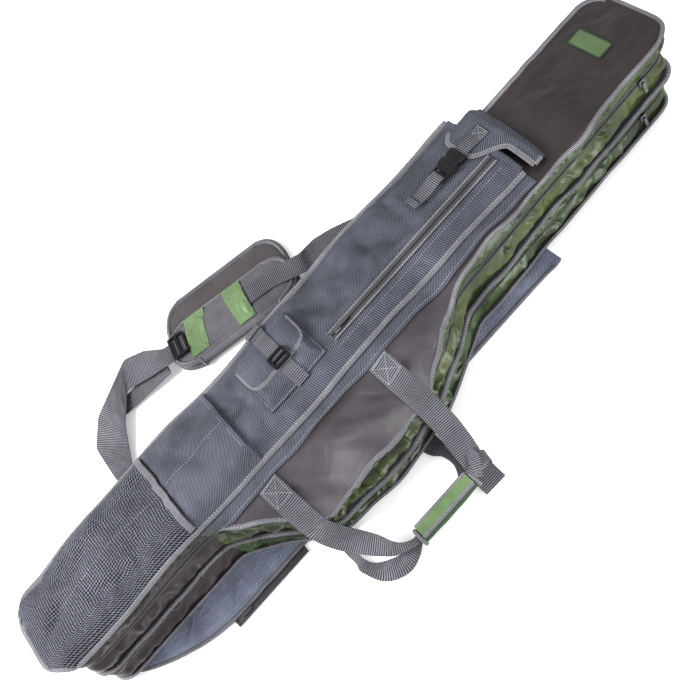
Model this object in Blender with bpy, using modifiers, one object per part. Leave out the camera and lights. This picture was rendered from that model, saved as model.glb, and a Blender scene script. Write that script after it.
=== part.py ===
"""Two-compartment fishing-rod holdall, lying on its back with its zipped side towards -Y.

+X runs to the tip end of the rods, +Z is up, metres.  The origin lies on the flat underside
of the rear pocket.  Fabric pieces are thin closed sheets, webbing is flat ribbon, and the
buckles and zip sliders are solid mouldings.
"""
import math

import bmesh
import bpy
from mathutils import Matrix, Vector

# ---- driving dimensions (metres) ----
LENGTH = 1.30              # butt end of the front pocket to the tip end of the cover
BUTT_SETBACK = 0.028       # body starts this far inside the front pocket's butt end
SPINE_Y = 0.045            # fold line of both compartments
ZIP_Y_BUTT = -0.085        # zipped side beside the rod butts
ZIP_Y_SHOULDER = -0.127    # zipped side just past the reel bulge
ZIP_Y_TIP = -0.112         # zipped side at the tip end
BULGE_Y = -0.192           # outermost line of the reel bulge
BULGE_START_X = -0.345
BULGE_FULL_X = -0.205
BULGE_EASE_X = 0.020
BULGE_END_X = 0.160
REAR_DEPTH = 0.050         # depth of the rear compartment
FRONT_DEPTH = 0.075        # depth of the front compartment
FABRIC = 0.0015            # walls and pocket sheets
PANEL = 0.0030             # padded cover, divider and back
GAP = 0.0004               # clearance between touching pieces
SEAM = 0.0014              # clearance of the side walls under the curved panels
POCKET_UNDER = 0.0120      # thickness of the rear pocket under the body
WEB = 0.0016               # webbing thickness
WEB_WIDE = 0.038           # carrying webbing
WEB_NARROW = 0.025         # closing straps
SLUMP_START_Y = -0.100     # the reel bulge sinks beyond this line
COVER_SLUMP = 0.058
DIVIDER_SLUMP = 0.020
CORNER_R = 0.035
BULGE_R = 0.060
INSET = 0.004              # side walls stand this far inside the panel edges
DIVIDER_SHORT = 0.014      # the divider ends this far inside the cover's tip end
BACK_SHORT = 0.034

POCKET_ZIP_Y = -0.092      # front pocket, long edge beside the zipped side
POCKET_SPINE_Y = 0.080     # front pocket overhangs the spine
POCKET_RISE = 0.0125       # room inside the flat front pocket
MOUTH_X = 0.357            # mouth of the front pocket
MESH_MOUTH_X = -0.345
SLIP_MOUTH_X = -0.205
SLEEVE_RISE = 0.0065       # room inside the mesh and slip pockets
STRIP_END_Y = -0.119       # reinforcing strip, outer edge

FLAP_REACH = 0.062         # end flap, from its hinge back over the pocket
FLAP_HINGE_X = 0.390
BUCKLE_Y = 0.004
BUCKLE_LENGTH = 0.054
BUCKLE_WIDTH = 0.034
BUCKLE_HEIGHT = 0.0090
TAIL_LENGTH = 0.062

SMALL_X = -0.087           # small pocket, middle
SMALL_WIDTH = 0.110
SMALL_TOP_Y = 0.038
SMALL_BOTTOM_Y = -0.050
SMALL_DEPTH = 0.014

LONG_ZIP_START_X = -0.005
LONG_ZIP_Y = -0.045
ZIP_WIDTH = 0.024

HANDLE_LEFT_X = -0.225
HANDLE_RIGHT_X = 0.012
GRIP_Y = -0.300
GRIP_START_X = -0.133
GRIP_LENGTH = 0.112
GRIP_R = 0.016

STRAP_HINGE_Y = 0.092      # the shoulder strap bends here, clear of the overhang
STRAP_HINGE_Z = 0.0045
STRAP_LEFT_X = -0.400
STRAP_RIGHT_X = 0.215
PAD_CENTRE = (-0.088, 0.285)
PAD_LENGTH = 0.262
PAD_TILT = math.radians(-15.5)
PAD_THICK = 0.0080

REAR_POCKET_Y = -0.150     # rear pocket reaches past the zipped side
REAR_POCKET_START_X = -0.600
REAR_POCKET_END_X = 0.315
REAR_ZIP_START_X = -0.425
REAR_ZIP_END_X = -0.270

SLIDER_LENGTH = 0.012
SLIDER_WIDTH = 0.009
SLIDER_HEIGHT = 0.0032
PULL_LENGTH = 0.022
PULL_WIDTH = 0.0055
PULL_THICK = 0.0014

END_X = LENGTH / 2
POCKET_START_X = -LENGTH / 2
BODY_START_X = POCKET_START_X + BUTT_SETBACK
BACK_Z = POCKET_UNDER + GAP
DIVIDER_Z = BACK_Z + REAR_DEPTH
COVER_Z = DIVIDER_Z + FRONT_DEPTH
COVER_TOP_Z = COVER_Z + PANEL
POCKET_BACK_TOP_Z = COVER_TOP_Z + GAP + FABRIC
POCKET_TOP_Z = POCKET_BACK_TOP_Z + GAP + POCKET_RISE + FABRIC

for leftover in list(bpy.data.objects):
    bpy.data.objects.remove(leftover, do_unlink=True)
parts = bpy.data.collections.new("rod_holdall")
cutters = bpy.data.collections.new("cutters")
bpy.context.scene.collection.children.link(parts)
bpy.context.scene.collection.children.link(cutters)


def finish(name, colour, roughness, metallic=0.0):
    """A Principled material."""
    mat = bpy.data.materials.new(name)
    mat.use_nodes = True
    shader = mat.node_tree.nodes["Principled BSDF"]
    shader.inputs["Base Color"].default_value = (*colour, 1.0)
    shader.inputs["Roughness"].default_value = roughness
    shader.inputs["Metallic"].default_value = metallic
    return mat


POCKET_CLOTH = finish("pocket_cloth", (0.075, 0.085, 0.105), 0.75)
COVER_CLOTH = finish("cover_cloth", (0.060, 0.052, 0.055), 0.60)
GREEN_NYLON = finish("green_nylon", (0.050, 0.110, 0.035), 0.35)
GREEN_PATCH = finish("green_patch", (0.130, 0.260, 0.090), 0.60)
WEBBING = finish("webbing", (0.100, 0.105, 0.120), 0.80)
MESH_CLOTH = finish("mesh_cloth", (0.060, 0.068, 0.085), 0.80)
LINING = finish("lining", (0.030, 0.032, 0.036), 0.75)
ZIP_TAPE = finish("zip_tape", (0.035, 0.036, 0.040), 0.70)
PLASTIC = finish("black_plastic", (0.015, 0.016, 0.018), 0.35)
ZIP_METAL = finish("zip_metal", (0.080, 0.080, 0.085), 0.35, 0.9)


def place(obj, mat, pivot=None):
    """Give the piece its material and collection, and hang it on its pivot."""
    obj.data.materials.clear()
    obj.data.materials.append(mat)
    for collection in list(obj.users_collection):
        collection.objects.unlink(obj)
    parts.objects.link(obj)
    if pivot is not None:
        obj.parent = pivot
        obj.matrix_parent_inverse = Matrix.Translation(pivot.location).inverted()
    return obj


def pivot_at(name, x, y, z, parent=None):
    """An empty on a joint's axis."""
    empty = bpy.data.objects.new(name, None)
    empty.empty_display_size = 0.02
    empty.location = (x, y, z)
    parts.objects.link(empty)
    if parent is not None:
        empty.parent = parent
        empty.matrix_parent_inverse = Matrix.Translation(world_of(parent)).inverted()
    return empty


def world_of(empty):
    """World place of a pivot: every pivot keeps its world place as its location."""
    return empty.location


def sheet(name, cells_u, cells_v, point, thickness, mat, pivot=None):
    """A grid laid along point(u, v) and given its thickness on both sides."""
    bm = bmesh.new()
    bmesh.ops.create_grid(bm, x_segments=cells_u, y_segments=cells_v, size=0.5)
    for vert in bm.verts:
        vert.co = Vector(point(vert.co.x + 0.5, vert.co.y + 0.5))
    mesh = bpy.data.meshes.new(name)
    bm.to_mesh(mesh)
    bm.free()
    obj = bpy.data.objects.new(name, mesh)
    wall = obj.modifiers.new("wall", "SOLIDIFY")
    wall.thickness = thickness
    wall.offset = 0.0
    return place(obj, mat, pivot)


def box(name, low, high, mat, pivot=None, bevel=0.0, turn=None):
    """A block from its low and high corners, optionally bevelled and turned about Z."""
    bm = bmesh.new()
    bmesh.ops.create_cube(bm, size=1.0)
    middle = [(a + b) / 2 for a, b in zip(low, high)]
    for vert in bm.verts:
        vert.co = Vector([m + c * (b - a) for m, c, a, b in zip(middle, vert.co, low, high)])
    if turn is not None:
        bmesh.ops.rotate(bm, verts=bm.verts, cent=middle, matrix=Matrix.Rotation(turn, 3, "Z"))
    mesh = bpy.data.meshes.new(name)
    bm.to_mesh(mesh)
    bm.free()
    obj = bpy.data.objects.new(name, mesh)
    if bevel:
        edge = obj.modifiers.new("edge", "BEVEL")
        edge.width = bevel
        edge.segments = 1
    return place(obj, mat, pivot)


def cut(obj, low, high):
    """Cut a block out of a piece."""
    cutter = box(obj.name + "_cut", low, high, PLASTIC)
    parts.objects.unlink(cutter)
    cutters.objects.link(cutter)
    cutter.hide_render = True
    cutter.display_type = "WIRE"
    tool = obj.modifiers.new("cut", "BOOLEAN")
    tool.operation = "DIFFERENCE"
    tool.solver = "EXACT"
    tool.object = cutter


def plate(name, loops, base, thickness, mat, pivot=None, frame=None):
    """A flat outline with holes, extruded upwards from its base height, then set by frame."""
    curve = bpy.data.curves.new(name, "CURVE")
    curve.dimensions = "2D"
    curve.fill_mode = "BOTH"
    curve.extrude = thickness / 2
    for loop in loops:
        spline = curve.splines.new("POLY")
        spline.points.add(len(loop) - 1)
        for point, (x, y) in zip(spline.points, loop):
            point.co = (x, y, 0.0, 1.0)
        spline.use_cyclic_u = True
    source = bpy.data.objects.new(name + "_outline", curve)
    parts.objects.link(source)
    graph = bpy.context.evaluated_depsgraph_get()
    mesh = bpy.data.meshes.new_from_object(source.evaluated_get(graph))
    bpy.data.objects.remove(source, do_unlink=True)
    bm = bmesh.new()
    bm.from_mesh(mesh)
    bmesh.ops.remove_doubles(bm, verts=bm.verts, dist=0.00001)
    bmesh.ops.translate(bm, verts=bm.verts, vec=(0.0, 0.0, base + thickness / 2))
    if frame is not None:
        bmesh.ops.transform(bm, verts=bm.verts, matrix=frame)
    bmesh.ops.recalc_face_normals(bm, faces=bm.faces)
    bm.to_mesh(mesh)
    bm.free()
    mesh.name = name
    return place(bpy.data.objects.new(name, mesh), mat, pivot)


def rounded_rect(x0, y0, x1, y1, radius, steps=3):
    """Corner points of a rectangle with round corners, counter-clockwise."""
    points = []
    centres = ((x1 - radius, y1 - radius), (x0 + radius, y1 - radius),
               (x0 + radius, y0 + radius), (x1 - radius, y0 + radius))
    for quarter, (cx, cy) in enumerate(centres):
        for step in range(steps + 1):
            angle = math.pi / 2 * (quarter + step / steps)
            points.append((cx + radius * math.cos(angle), cy + radius * math.sin(angle)))
    return points


def rounded_path(corners, steps):
    """A polyline whose inner corners (x, y, radius) are replaced by tangent curves."""
    points = [Vector(corners[0][:2])]
    for before, corner, after in zip(corners, corners[1:], corners[2:]):
        at = Vector(corner[:2])
        back = (Vector(before[:2]) - at).normalized()
        ahead = (Vector(after[:2]) - at).normalized()
        half = back.angle(ahead) / 2
        reach = corner[2] / math.tan(half)
        for step in range(steps + 1):
            t = step / steps
            start = at + back * reach
            end = at + ahead * reach
            points.append(start * (1 - t) ** 2 + at * 2 * t * (1 - t) + end * t ** 2)
    points.append(Vector(corners[-1][:2]))
    return points


def follow(points, u):
    """Point at the fraction u of a list of stations."""
    place_on = u * (len(points) - 1)
    index = min(int(place_on + 1e-6), len(points) - 2)
    return points[index].lerp(points[index + 1], place_on - index)


def smooth_route(knots, steps):
    """Catmull-Rom stations through hand-set knots; each knot is a Vector of any size."""
    route = []
    last = len(knots) - 1
    for index in range(last):
        p0 = knots[max(index - 1, 0)]
        p1 = knots[index]
        p2 = knots[index + 1]
        p3 = knots[min(index + 2, last)]
        for step in range(steps):
            t = step / steps
            route.append(0.5 * ((2 * p1) + (p2 - p0) * t + (2 * p0 - 5 * p1 + 4 * p2 - p3) * t * t
                                + (3 * p1 - p0 - 3 * p2 + p3) * t ** 3))
    route.append(knots[last])
    return route


def ribbon(name, knots, width, mat, pivot=None, steps=3, thickness=WEB):
    """Webbing along knots ((x, y, z), (across direction)) that may twist."""
    centres = smooth_route([Vector(place) for place, across in knots], steps)
    sides = smooth_route([Vector(across).normalized() for place, across in knots], steps)

    def point(u, v):
        return follow(centres, u) + follow(sides, u).normalized() * width * (v - 0.5)

    return sheet(name, len(centres) - 1, 1, point, thickness, mat, pivot)


# ---- body outline and layer heights ----
def slump(y):
    """How far the fabric has sunk at y, from 0 on the body to 1 at the bulge's edge."""
    reach = max(0.0, (SLUMP_START_Y - y) / (SLUMP_START_Y - BULGE_Y))
    return reach * reach


def cover_z(y):
    """Middle of the cover's thickness."""
    return COVER_Z + PANEL / 2 - COVER_SLUMP * slump(y)


def divider_z(y):
    """Middle of the divider's thickness."""
    return DIVIDER_Z + PANEL / 2 - DIVIDER_SLUMP * slump(y)


def back_z(y):
    """Middle of the back panel's thickness."""
    return BACK_Z + PANEL / 2


def steepness(height, y):
    """Length along the slope for each unit across, at y."""
    probe = 0.001
    slope = (height(y + probe) - height(y - probe)) / (2 * probe)
    return math.hypot(1.0, slope)


def seam(height, y):
    """Vertical room from the middle of a sloping panel to the wall that meets it."""
    steep = steepness(height, y)
    return SEAM + PANEL / 2 * steep + FABRIC / 2 * math.sqrt(steep ** 2 - 1)


def outline(short, inset):
    """Zipped-side edge of a layer, from the butt end round to the tip end."""
    start = BODY_START_X + inset
    end = END_X - short - inset
    corners = [(start, SPINE_Y - 2 * inset, 0), (start, ZIP_Y_BUTT + inset, CORNER_R),
               (BULGE_START_X, ZIP_Y_BUTT + inset, BULGE_R),
               (BULGE_FULL_X, BULGE_Y + inset, BULGE_R), (BULGE_EASE_X, BULGE_Y + inset, BULGE_R),
               (BULGE_END_X, ZIP_Y_SHOULDER + inset, BULGE_R), (end, ZIP_Y_TIP + inset, CORNER_R),
               (end, SPINE_Y - CORNER_R - 2 * inset, 0)]
    return rounded_path(corners, 3)


PANEL_ROWS = 6
FLAT_SHARE = 2 / PANEL_ROWS     # rows on the flat part; the rest follow the slump


def panel(name, height, short, mat, pivot=None):
    """A cover, divider or back: the outline's stations joined straight to the spine."""
    stations = outline(short, 0.0)[1:-1]
    end = END_X - short

    def point(u, v):
        edge = follow(stations, u)
        near_end = max(0.0, (edge.x - (end - CORNER_R)) / CORNER_R)
        spine = SPINE_Y - CORNER_R * (1 - math.sqrt(max(0.0, 1 - near_end ** 2)))
        crease = max(SLUMP_START_Y, edge.y + 0.010)
        if v <= FLAT_SHARE:
            y = spine + (crease - spine) * v / FLAT_SHARE
        else:
            y = crease + (edge.y - crease) * (v - FLAT_SHARE) / (1 - FLAT_SHARE)
        return (edge.x, y, height(y))

    return sheet(name, len(stations) - 1, PANEL_ROWS, point, PANEL, mat, pivot)


def side_wall(name, lower, upper, span, mat, pivot=None):
    """Part of a side wall lofted between two layers; span picks its lower and upper edge."""
    low_line = outline(lower[1], INSET)
    high_line = outline(upper[1], INSET)

    def point(u, v):
        low = follow(low_line, u)
        high = follow(high_line, u)
        bottom = lower[0](low.y) + seam(lower[0], low.y)
        top = upper[0](high.y) - seam(upper[0], high.y)
        lift = span(top - bottom)[0] * (1 - v) + span(top - bottom)[1] * v
        share = lift / (top - bottom)
        flat = low.lerp(high, share)
        return (flat.x, flat.y, bottom + lift)

    return sheet(name, len(low_line) - 1, 1, point, FABRIC, mat, pivot)


def tape_half(height):
    """Half-width of a zip tape in a wall of this height."""
    return min(ZIP_WIDTH / 2, 0.28 * height)


def lower_wall(height):
    return 0.0, height / 2 - tape_half(height) - GAP / 2


def lower_tape(height):
    return height / 2 - tape_half(height) + GAP / 2, height / 2 - GAP / 2


def upper_tape(height):
    return height / 2 + GAP / 2, height / 2 + tape_half(height) - GAP / 2


def upper_wall(height):
    return height / 2 + tape_half(height) + GAP / 2, height


# ---- pivots, each on its joint's axis ----
middle_pivot = pivot_at("middle_pivot", 0.0, SPINE_Y, DIVIDER_Z + PANEL)
front_pivot = pivot_at("front_pivot", 0.0, SPINE_Y, COVER_Z + PANEL, middle_pivot)

BACK = (back_z, BACK_SHORT)
DIVIDER = (divider_z, DIVIDER_SHORT)
COVER = (cover_z, 0.0)

panel("back_panel", back_z, BACK_SHORT, COVER_CLOTH)
side_wall("rear_wall_lower", BACK, DIVIDER, lower_wall, GREEN_NYLON)
side_wall("rear_zip_lower", BACK, DIVIDER, lower_tape, ZIP_TAPE)
side_wall("rear_zip_upper", BACK, DIVIDER, upper_tape, ZIP_TAPE, middle_pivot)
side_wall("rear_wall_upper", BACK, DIVIDER, upper_wall, GREEN_NYLON, middle_pivot)
panel("divider_panel", divider_z, DIVIDER_SHORT, LINING, middle_pivot)
side_wall("front_wall_lower", DIVIDER, COVER, lower_wall, GREEN_NYLON, middle_pivot)
side_wall("front_zip_lower", DIVIDER, COVER, lower_tape, ZIP_TAPE, middle_pivot)
side_wall("front_zip_upper", DIVIDER, COVER, upper_tape, ZIP_TAPE, front_pivot)
side_wall("front_wall_upper", DIVIDER, COVER, upper_wall, GREEN_NYLON, front_pivot)
panel("front_cover", cover_z, 0.0, COVER_CLOTH, front_pivot)

SPINE_WALL_Y = SPINE_Y - INSET / 2


def spine_wall(name, low, high, end, pivot=None):
    """Straight wall along the spine between two layers."""
    box(name, (BODY_START_X + 2 * INSET, SPINE_WALL_Y - FABRIC / 2, low + PANEL + GAP),
        (end - CORNER_R - 2 * INSET, SPINE_WALL_Y + FABRIC / 2, high - GAP), COVER_CLOTH, pivot)


spine_wall("rear_spine_wall", BACK_Z, DIVIDER_Z, END_X - BACK_SHORT)
spine_wall("front_spine_wall", DIVIDER_Z, COVER_Z, END_X - DIVIDER_SHORT, middle_pivot)

# ---- rod ties: short hook-and-loop straps sewn on the floor of each compartment ----
TIE_WIDTH = 0.030
TIE_THICK = 0.0020
TIE_ROOT_Y = 0.010


def rod_tie(name, x, floor, reach, parent):
    """A strap lying flat on a compartment's floor, hinged at its sewn end."""
    base = floor + PANEL + GAP
    pivot = pivot_at(name + "_pivot", x, TIE_ROOT_Y, base + TIE_THICK / 2, parent)
    box(name, (x - TIE_WIDTH / 2, TIE_ROOT_Y - reach, base),
        (x + TIE_WIDTH / 2, TIE_ROOT_Y, base + TIE_THICK), WEBBING, pivot)


TIE_BUTT_X = BODY_START_X + 0.162
TIE_TIP_X = END_X - 0.310
for side, tie_x in (("butt", TIE_BUTT_X), ("tip", TIE_TIP_X)):
    rod_tie("rear_rod_tie_" + side, tie_x, BACK_Z, REAR_DEPTH * 0.70, None)
    rod_tie("front_rod_tie_" + side, tie_x, DIVIDER_Z, FRONT_DEPTH * 0.75, middle_pivot)

# ---- rear pocket: a flat pouch under the body, open above through its own zip ----
REAR_POCKET_SPINE_Y = 0.030
REAR_POCKET_TOP_Z = POCKET_UNDER - FABRIC


def rear_pocket_edge(x):
    """Outer edge of the rear pocket, drawn in towards its butt end."""
    ease = min(1.0, max(0.0, (x - REAR_POCKET_START_X) / 0.20))
    return REAR_POCKET_Y + 0.075 * (1 - ease) ** 2


def rear_pocket_point(height):
    def point(u, v):
        x = REAR_POCKET_START_X + (REAR_POCKET_END_X - REAR_POCKET_START_X) * u
        y = REAR_POCKET_SPINE_Y + (rear_pocket_edge(x) - REAR_POCKET_SPINE_Y) * v
        return (x, y, height)

    return point


sheet("rear_pocket_bottom", 10, 1, rear_pocket_point(FABRIC / 2), FABRIC, POCKET_CLOTH)


def rear_pocket_top(u, v):
    """Top sheet: sewn down on three sides and raised along its zipped mouth."""
    x = REAR_POCKET_START_X + (REAR_POCKET_END_X - REAR_POCKET_START_X) * u
    y = REAR_POCKET_SPINE_Y + (rear_pocket_edge(x) - REAR_POCKET_SPINE_Y) * v
    rim = min(1.0, min(u, 1 - u) * 10, v * 6)
    low = FABRIC * 1.5 + GAP
    return (x, y, low + (REAR_POCKET_TOP_Z - low) * rim)


sheet("rear_pocket_top", 10, 6, rear_pocket_top, FABRIC, POCKET_CLOTH)

# ---- zips and sliders ----
tip_slope = math.atan2(ZIP_Y_TIP - ZIP_Y_SHOULDER, END_X - BULGE_END_X)


def side_slider(name, x, lower, upper, parent, pull_drop):
    """Slider on the outside of a side wall's zip, with a pull that hangs from it."""
    share = (x - BULGE_END_X) / (END_X - BULGE_END_X)
    y = ZIP_Y_SHOULDER + INSET + (ZIP_Y_TIP - ZIP_Y_SHOULDER) * share
    z = (lower[0](y) + upper[0](y)) / 2
    face = y - FABRIC / 2 - GAP
    carrier = pivot_at(name + "_pivot", x, face - SLIDER_HEIGHT / 2, z, parent)
    box(name + "_slider", (x - SLIDER_LENGTH / 2, face - SLIDER_HEIGHT - GAP, z - SLIDER_WIDTH / 2),
        (x + SLIDER_LENGTH / 2, face - GAP, z + SLIDER_WIDTH / 2),
        ZIP_METAL, carrier, 0.0006, tip_slope)
    pull_y = face - SLIDER_HEIGHT - GAP - 0.0008
    swing = pivot_at(name + "_pull_pivot", x, pull_y - PULL_THICK / 2, z, carrier)
    outline_2d = rounded_rect(-PULL_WIDTH / 2, -pull_drop, PULL_WIDTH / 2, 0.0, 0.0015)
    upright = Matrix.Translation((x, pull_y, z)) @ Matrix.Rotation(math.pi / 2, 4, "X")
    plate(name + "_pull", [outline_2d], 0.0, PULL_THICK, ZIP_METAL, swing, upright)


side_slider("front_zip", END_X - 0.075, DIVIDER, COVER, middle_pivot, PULL_LENGTH)
side_slider("rear_zip", END_X - 0.095, BACK, DIVIDER, None, PULL_LENGTH * 0.8)


def flat_slider(name, x, y, z, parent):
    """Slider on a level zip, with its pull lying flat beside it."""
    carrier = pivot_at(name + "_pivot", x, y, z, parent)
    box(name + "_slider", (x - SLIDER_LENGTH / 2, y - SLIDER_WIDTH / 2, z + GAP),
        (x + SLIDER_LENGTH / 2, y + SLIDER_WIDTH / 2, z + GAP + SLIDER_HEIGHT),
        ZIP_METAL, carrier, 0.0006)
    top = z + SLIDER_HEIGHT + 2 * GAP
    swing = pivot_at(name + "_pull_pivot", x, y, top + PULL_THICK / 2, carrier)
    outline_2d = rounded_rect(x, y - PULL_WIDTH / 2, x + PULL_LENGTH, y + PULL_WIDTH / 2, 0.0015)
    plate(name + "_pull", [outline_2d], top, PULL_THICK, ZIP_METAL, swing)


# ---- front pocket: a flat tube open at the tip end ----
def pocket_start(y):
    """Butt edge of the front pocket, with both corners cut off."""
    spine_cut = max(0.0, y - (POCKET_SPINE_Y - 0.040)) / 0.040
    zip_cut = max(0.0, (POCKET_ZIP_Y + 0.040) - y) / 0.040
    return POCKET_START_X + 0.022 * spine_cut + 0.040 * zip_cut


def pocket_y(v):
    return POCKET_SPINE_Y + (POCKET_ZIP_Y - POCKET_SPINE_Y) * v


def lying_on(base, start, end, height):
    """Points of a sheet on the pocket between two x values; height(u, v) is its lift."""
    def point(u, v):
        y = pocket_y(v)
        first = max(start, pocket_start(y)) if start is not None else pocket_start(y)
        x = first + (end - first) * u
        return (x, y, base + height(u, v))

    return point


def pillow(rise, end_cells):
    """Lift of a sheet sewn down on both long edges and at the butt end, open at u = 1."""
    def height(u, v):
        rim = min(1.0, u * end_cells, min(v, 1 - v) * 8)
        return rise * rim

    return height


sheet("front_pocket_back", 8, 8, lying_on(COVER_TOP_Z + GAP + FABRIC / 2, None, MOUTH_X,
                                         lambda u, v: 0.0), FABRIC, POCKET_CLOTH, front_pivot)
sheet("front_pocket_front", 16, 8,
      lying_on(POCKET_BACK_TOP_Z + GAP + FABRIC / 2, None, MOUTH_X, pillow(POCKET_RISE, 16)),
      FABRIC, POCKET_CLOTH, front_pivot)


def sleeve(name, start, end, mat):
    """Pocket sheet laid over the front pocket, following its rise and opening at the tip end."""
    body = MOUTH_X - POCKET_START_X

    def height(u, v):
        first = start if start is not None else POCKET_START_X
        along = (first + (end - first) * u - POCKET_START_X) / body
        under = POCKET_RISE * min(1.0, along * 16, min(v, 1 - v) * 8)
        over = SLEEVE_RISE * min(1.0, u * 6, min(v, 1 - v) * 8)
        return under + over + FABRIC + GAP + 0.0006

    sheet(name, 8, 8, lying_on(POCKET_BACK_TOP_Z + GAP + FABRIC / 2, start, end, height),
          FABRIC, mat, front_pivot)


sleeve("mesh_pocket", None, MESH_MOUTH_X, MESH_CLOTH)
sleeve("slip_pocket", MESH_MOUTH_X + 0.003, SLIP_MOUTH_X, POCKET_CLOTH)

ON_POCKET_Z = POCKET_TOP_Z + GAP

# reinforcing strip along the pocket's edge, on the cover
def on_cover(x0, x1, y0, y1, lift):
    """Points of a sheet that follows the cover between two x and two y values."""
    def point(u, v):
        y = y0 + (y1 - y0) * v
        return (x0 + (x1 - x0) * u, y, cover_z(y) + (PANEL / 2 + lift) * steepness(cover_z, y))

    return point


sheet("edge_strip", 6, 2, on_cover(BULGE_START_X, MOUTH_X, POCKET_ZIP_Y - 0.001, STRIP_END_Y,
                                  GAP + FABRIC / 2), FABRIC, POCKET_CLOTH, front_pivot)

# long zip let into the front pocket
long_zip = box("long_zip", (LONG_ZIP_START_X, LONG_ZIP_Y - ZIP_WIDTH / 2, ON_POCKET_Z),
               (MOUTH_X - 0.012, LONG_ZIP_Y + ZIP_WIDTH / 2, ON_POCKET_Z + 0.0012),
               ZIP_TAPE, front_pivot)
flat_slider("long_zip", LONG_ZIP_START_X + 0.012, LONG_ZIP_Y, ON_POCKET_Z + 0.0012, front_pivot)

box("rear_pocket_zip", (REAR_ZIP_START_X, REAR_POCKET_Y - ZIP_WIDTH / 2 - GAP, GAP),
    (REAR_ZIP_END_X, REAR_POCKET_Y - GAP - FABRIC, GAP + 0.0016), ZIP_TAPE)
flat_slider("rear_pocket", REAR_ZIP_START_X + 0.012, REAR_POCKET_Y - 0.0068, GAP + 0.0016, None)

# ---- small buckled pocket ----
SMALL_X0 = SMALL_X - SMALL_WIDTH / 2
SMALL_X1 = SMALL_X + SMALL_WIDTH / 2


def small_front(u, v):
    """Front of the small pocket: sewn down on three sides, open towards the spine."""
    x = SMALL_X0 + SMALL_WIDTH * u
    y = SMALL_TOP_Y + (SMALL_BOTTOM_Y - SMALL_TOP_Y) * v
    rim = min(1.0, min(u, 1 - u) * 10, (1 - v) * 6)
    return (x, y, ON_POCKET_Z + FABRIC / 2 + (SMALL_DEPTH - FABRIC) * rim)


sheet("small_pocket_front", 10, 6, small_front, FABRIC, POCKET_CLOTH, front_pivot)
SMALL_TOP_Z = ON_POCKET_Z + SMALL_DEPTH
FLAP_Z = SMALL_TOP_Z + GAP
SMALL_HINGE_Y = SMALL_TOP_Y + 0.010
small_pivot = pivot_at("small_flap_pivot", SMALL_X, SMALL_HINGE_Y, FLAP_Z, front_pivot)
flap_corners = rounded_rect(SMALL_X0 - 0.002, -0.020, SMALL_X1 + 0.002, SMALL_HINGE_Y, 0.018, 4)
plate("small_pocket_flap", [flap_corners], FLAP_Z, FABRIC, POCKET_CLOTH, small_pivot)
STRAP_Z = FLAP_Z + FABRIC + GAP
box("small_pocket_strap", (SMALL_X - WEB_NARROW / 2 + 0.006, -0.026, STRAP_Z),
    (SMALL_X + WEB_NARROW / 2 + 0.006, SMALL_HINGE_Y, STRAP_Z + WEB), WEBBING, small_pivot)


def slotted(cx, cy, length, width, bar):
    """Outline of a ladder buckle: a frame with two slots either side of its middle bar."""
    loops = [rounded_rect(cx - width / 2, cy - length / 2, cx + width / 2, cy + length / 2, 0.004)]
    inner = width / 2 - bar
    slot = (length - 3 * bar) / 2
    for sign in (-1, 1):
        middle = cy + sign * (bar + slot) / 2
        loops.append(rounded_rect(cx - inner, middle - slot / 2, cx + inner, middle + slot / 2,
                                  0.001, 1))
    return loops


plate("small_pocket_buckle", slotted(SMALL_X + 0.006, -0.012, 0.026, 0.033, 0.0035),
      STRAP_Z + WEB + GAP, 0.0035, PLASTIC, small_pivot)

# ---- end flap with its side-release buckle ----
FLAP_BASE_Z = POCKET_TOP_Z + GAP
flap_pivot = pivot_at("end_flap_pivot", FLAP_HINGE_X, 0.0, FLAP_BASE_Z, front_pivot)


def flap_point(u, v):
    """Flap over the pocket's mouth, wide at the spine side and narrow at the zipped side."""
    y = 0.050 - 0.150 * v
    narrow = min(1.0, max(0.0, (-0.008 - y) / 0.045))
    first = FLAP_HINGE_X - FLAP_REACH * (1 - 0.62 * narrow * narrow * (3 - 2 * narrow))
    last = FLAP_HINGE_X - 0.012 * v * v
    return (first + (last - first) * u, y, FLAP_BASE_Z + FABRIC / 2)


sheet("end_flap", 3, 8, flap_point, FABRIC, POCKET_CLOTH, flap_pivot)
ON_FLAP_Z = FLAP_BASE_Z + FABRIC + GAP
FLAP_FRONT_X = FLAP_HINGE_X - FLAP_REACH
BUCKLE_Z = ON_FLAP_Z
BUCKLE_END_X = FLAP_FRONT_X - 0.003
BUCKLE_START_X = BUCKLE_END_X - BUCKLE_LENGTH
box("flap_web", (FLAP_FRONT_X, BUCKLE_Y - WEB_NARROW / 2, ON_FLAP_Z),
    (FLAP_FRONT_X + 0.046, BUCKLE_Y + WEB_NARROW / 2, ON_FLAP_Z + WEB), WEBBING, flap_pivot)
SOCKET_X = BUCKLE_END_X - 0.032
WALL = 0.0020
socket = box("buckle_socket", (SOCKET_X, BUCKLE_Y - BUCKLE_WIDTH / 2, BUCKLE_Z),
             (BUCKLE_END_X, BUCKLE_Y + BUCKLE_WIDTH / 2, BUCKLE_Z + BUCKLE_HEIGHT),
             PLASTIC, flap_pivot)
cut(socket, (SOCKET_X - 0.01, BUCKLE_Y - BUCKLE_WIDTH / 2 + WALL, BUCKLE_Z + WALL),
    (BUCKLE_END_X - 0.006, BUCKLE_Y + BUCKLE_WIDTH / 2 - WALL, BUCKLE_Z + BUCKLE_HEIGHT - WALL))
cut(socket, (SOCKET_X + 0.007, BUCKLE_Y - BUCKLE_WIDTH, BUCKLE_Z + WALL),
    (SOCKET_X + 0.020, BUCKLE_Y + BUCKLE_WIDTH, BUCKLE_Z + BUCKLE_HEIGHT - WALL))
plug_pivot = pivot_at("buckle_plug_pivot", SOCKET_X, BUCKLE_Y, BUCKLE_Z, flap_pivot)
PRONG_Z = BUCKLE_Z + WALL + GAP
PRONG_THICK = BUCKLE_HEIGHT - 2 * WALL - 2 * GAP
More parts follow.
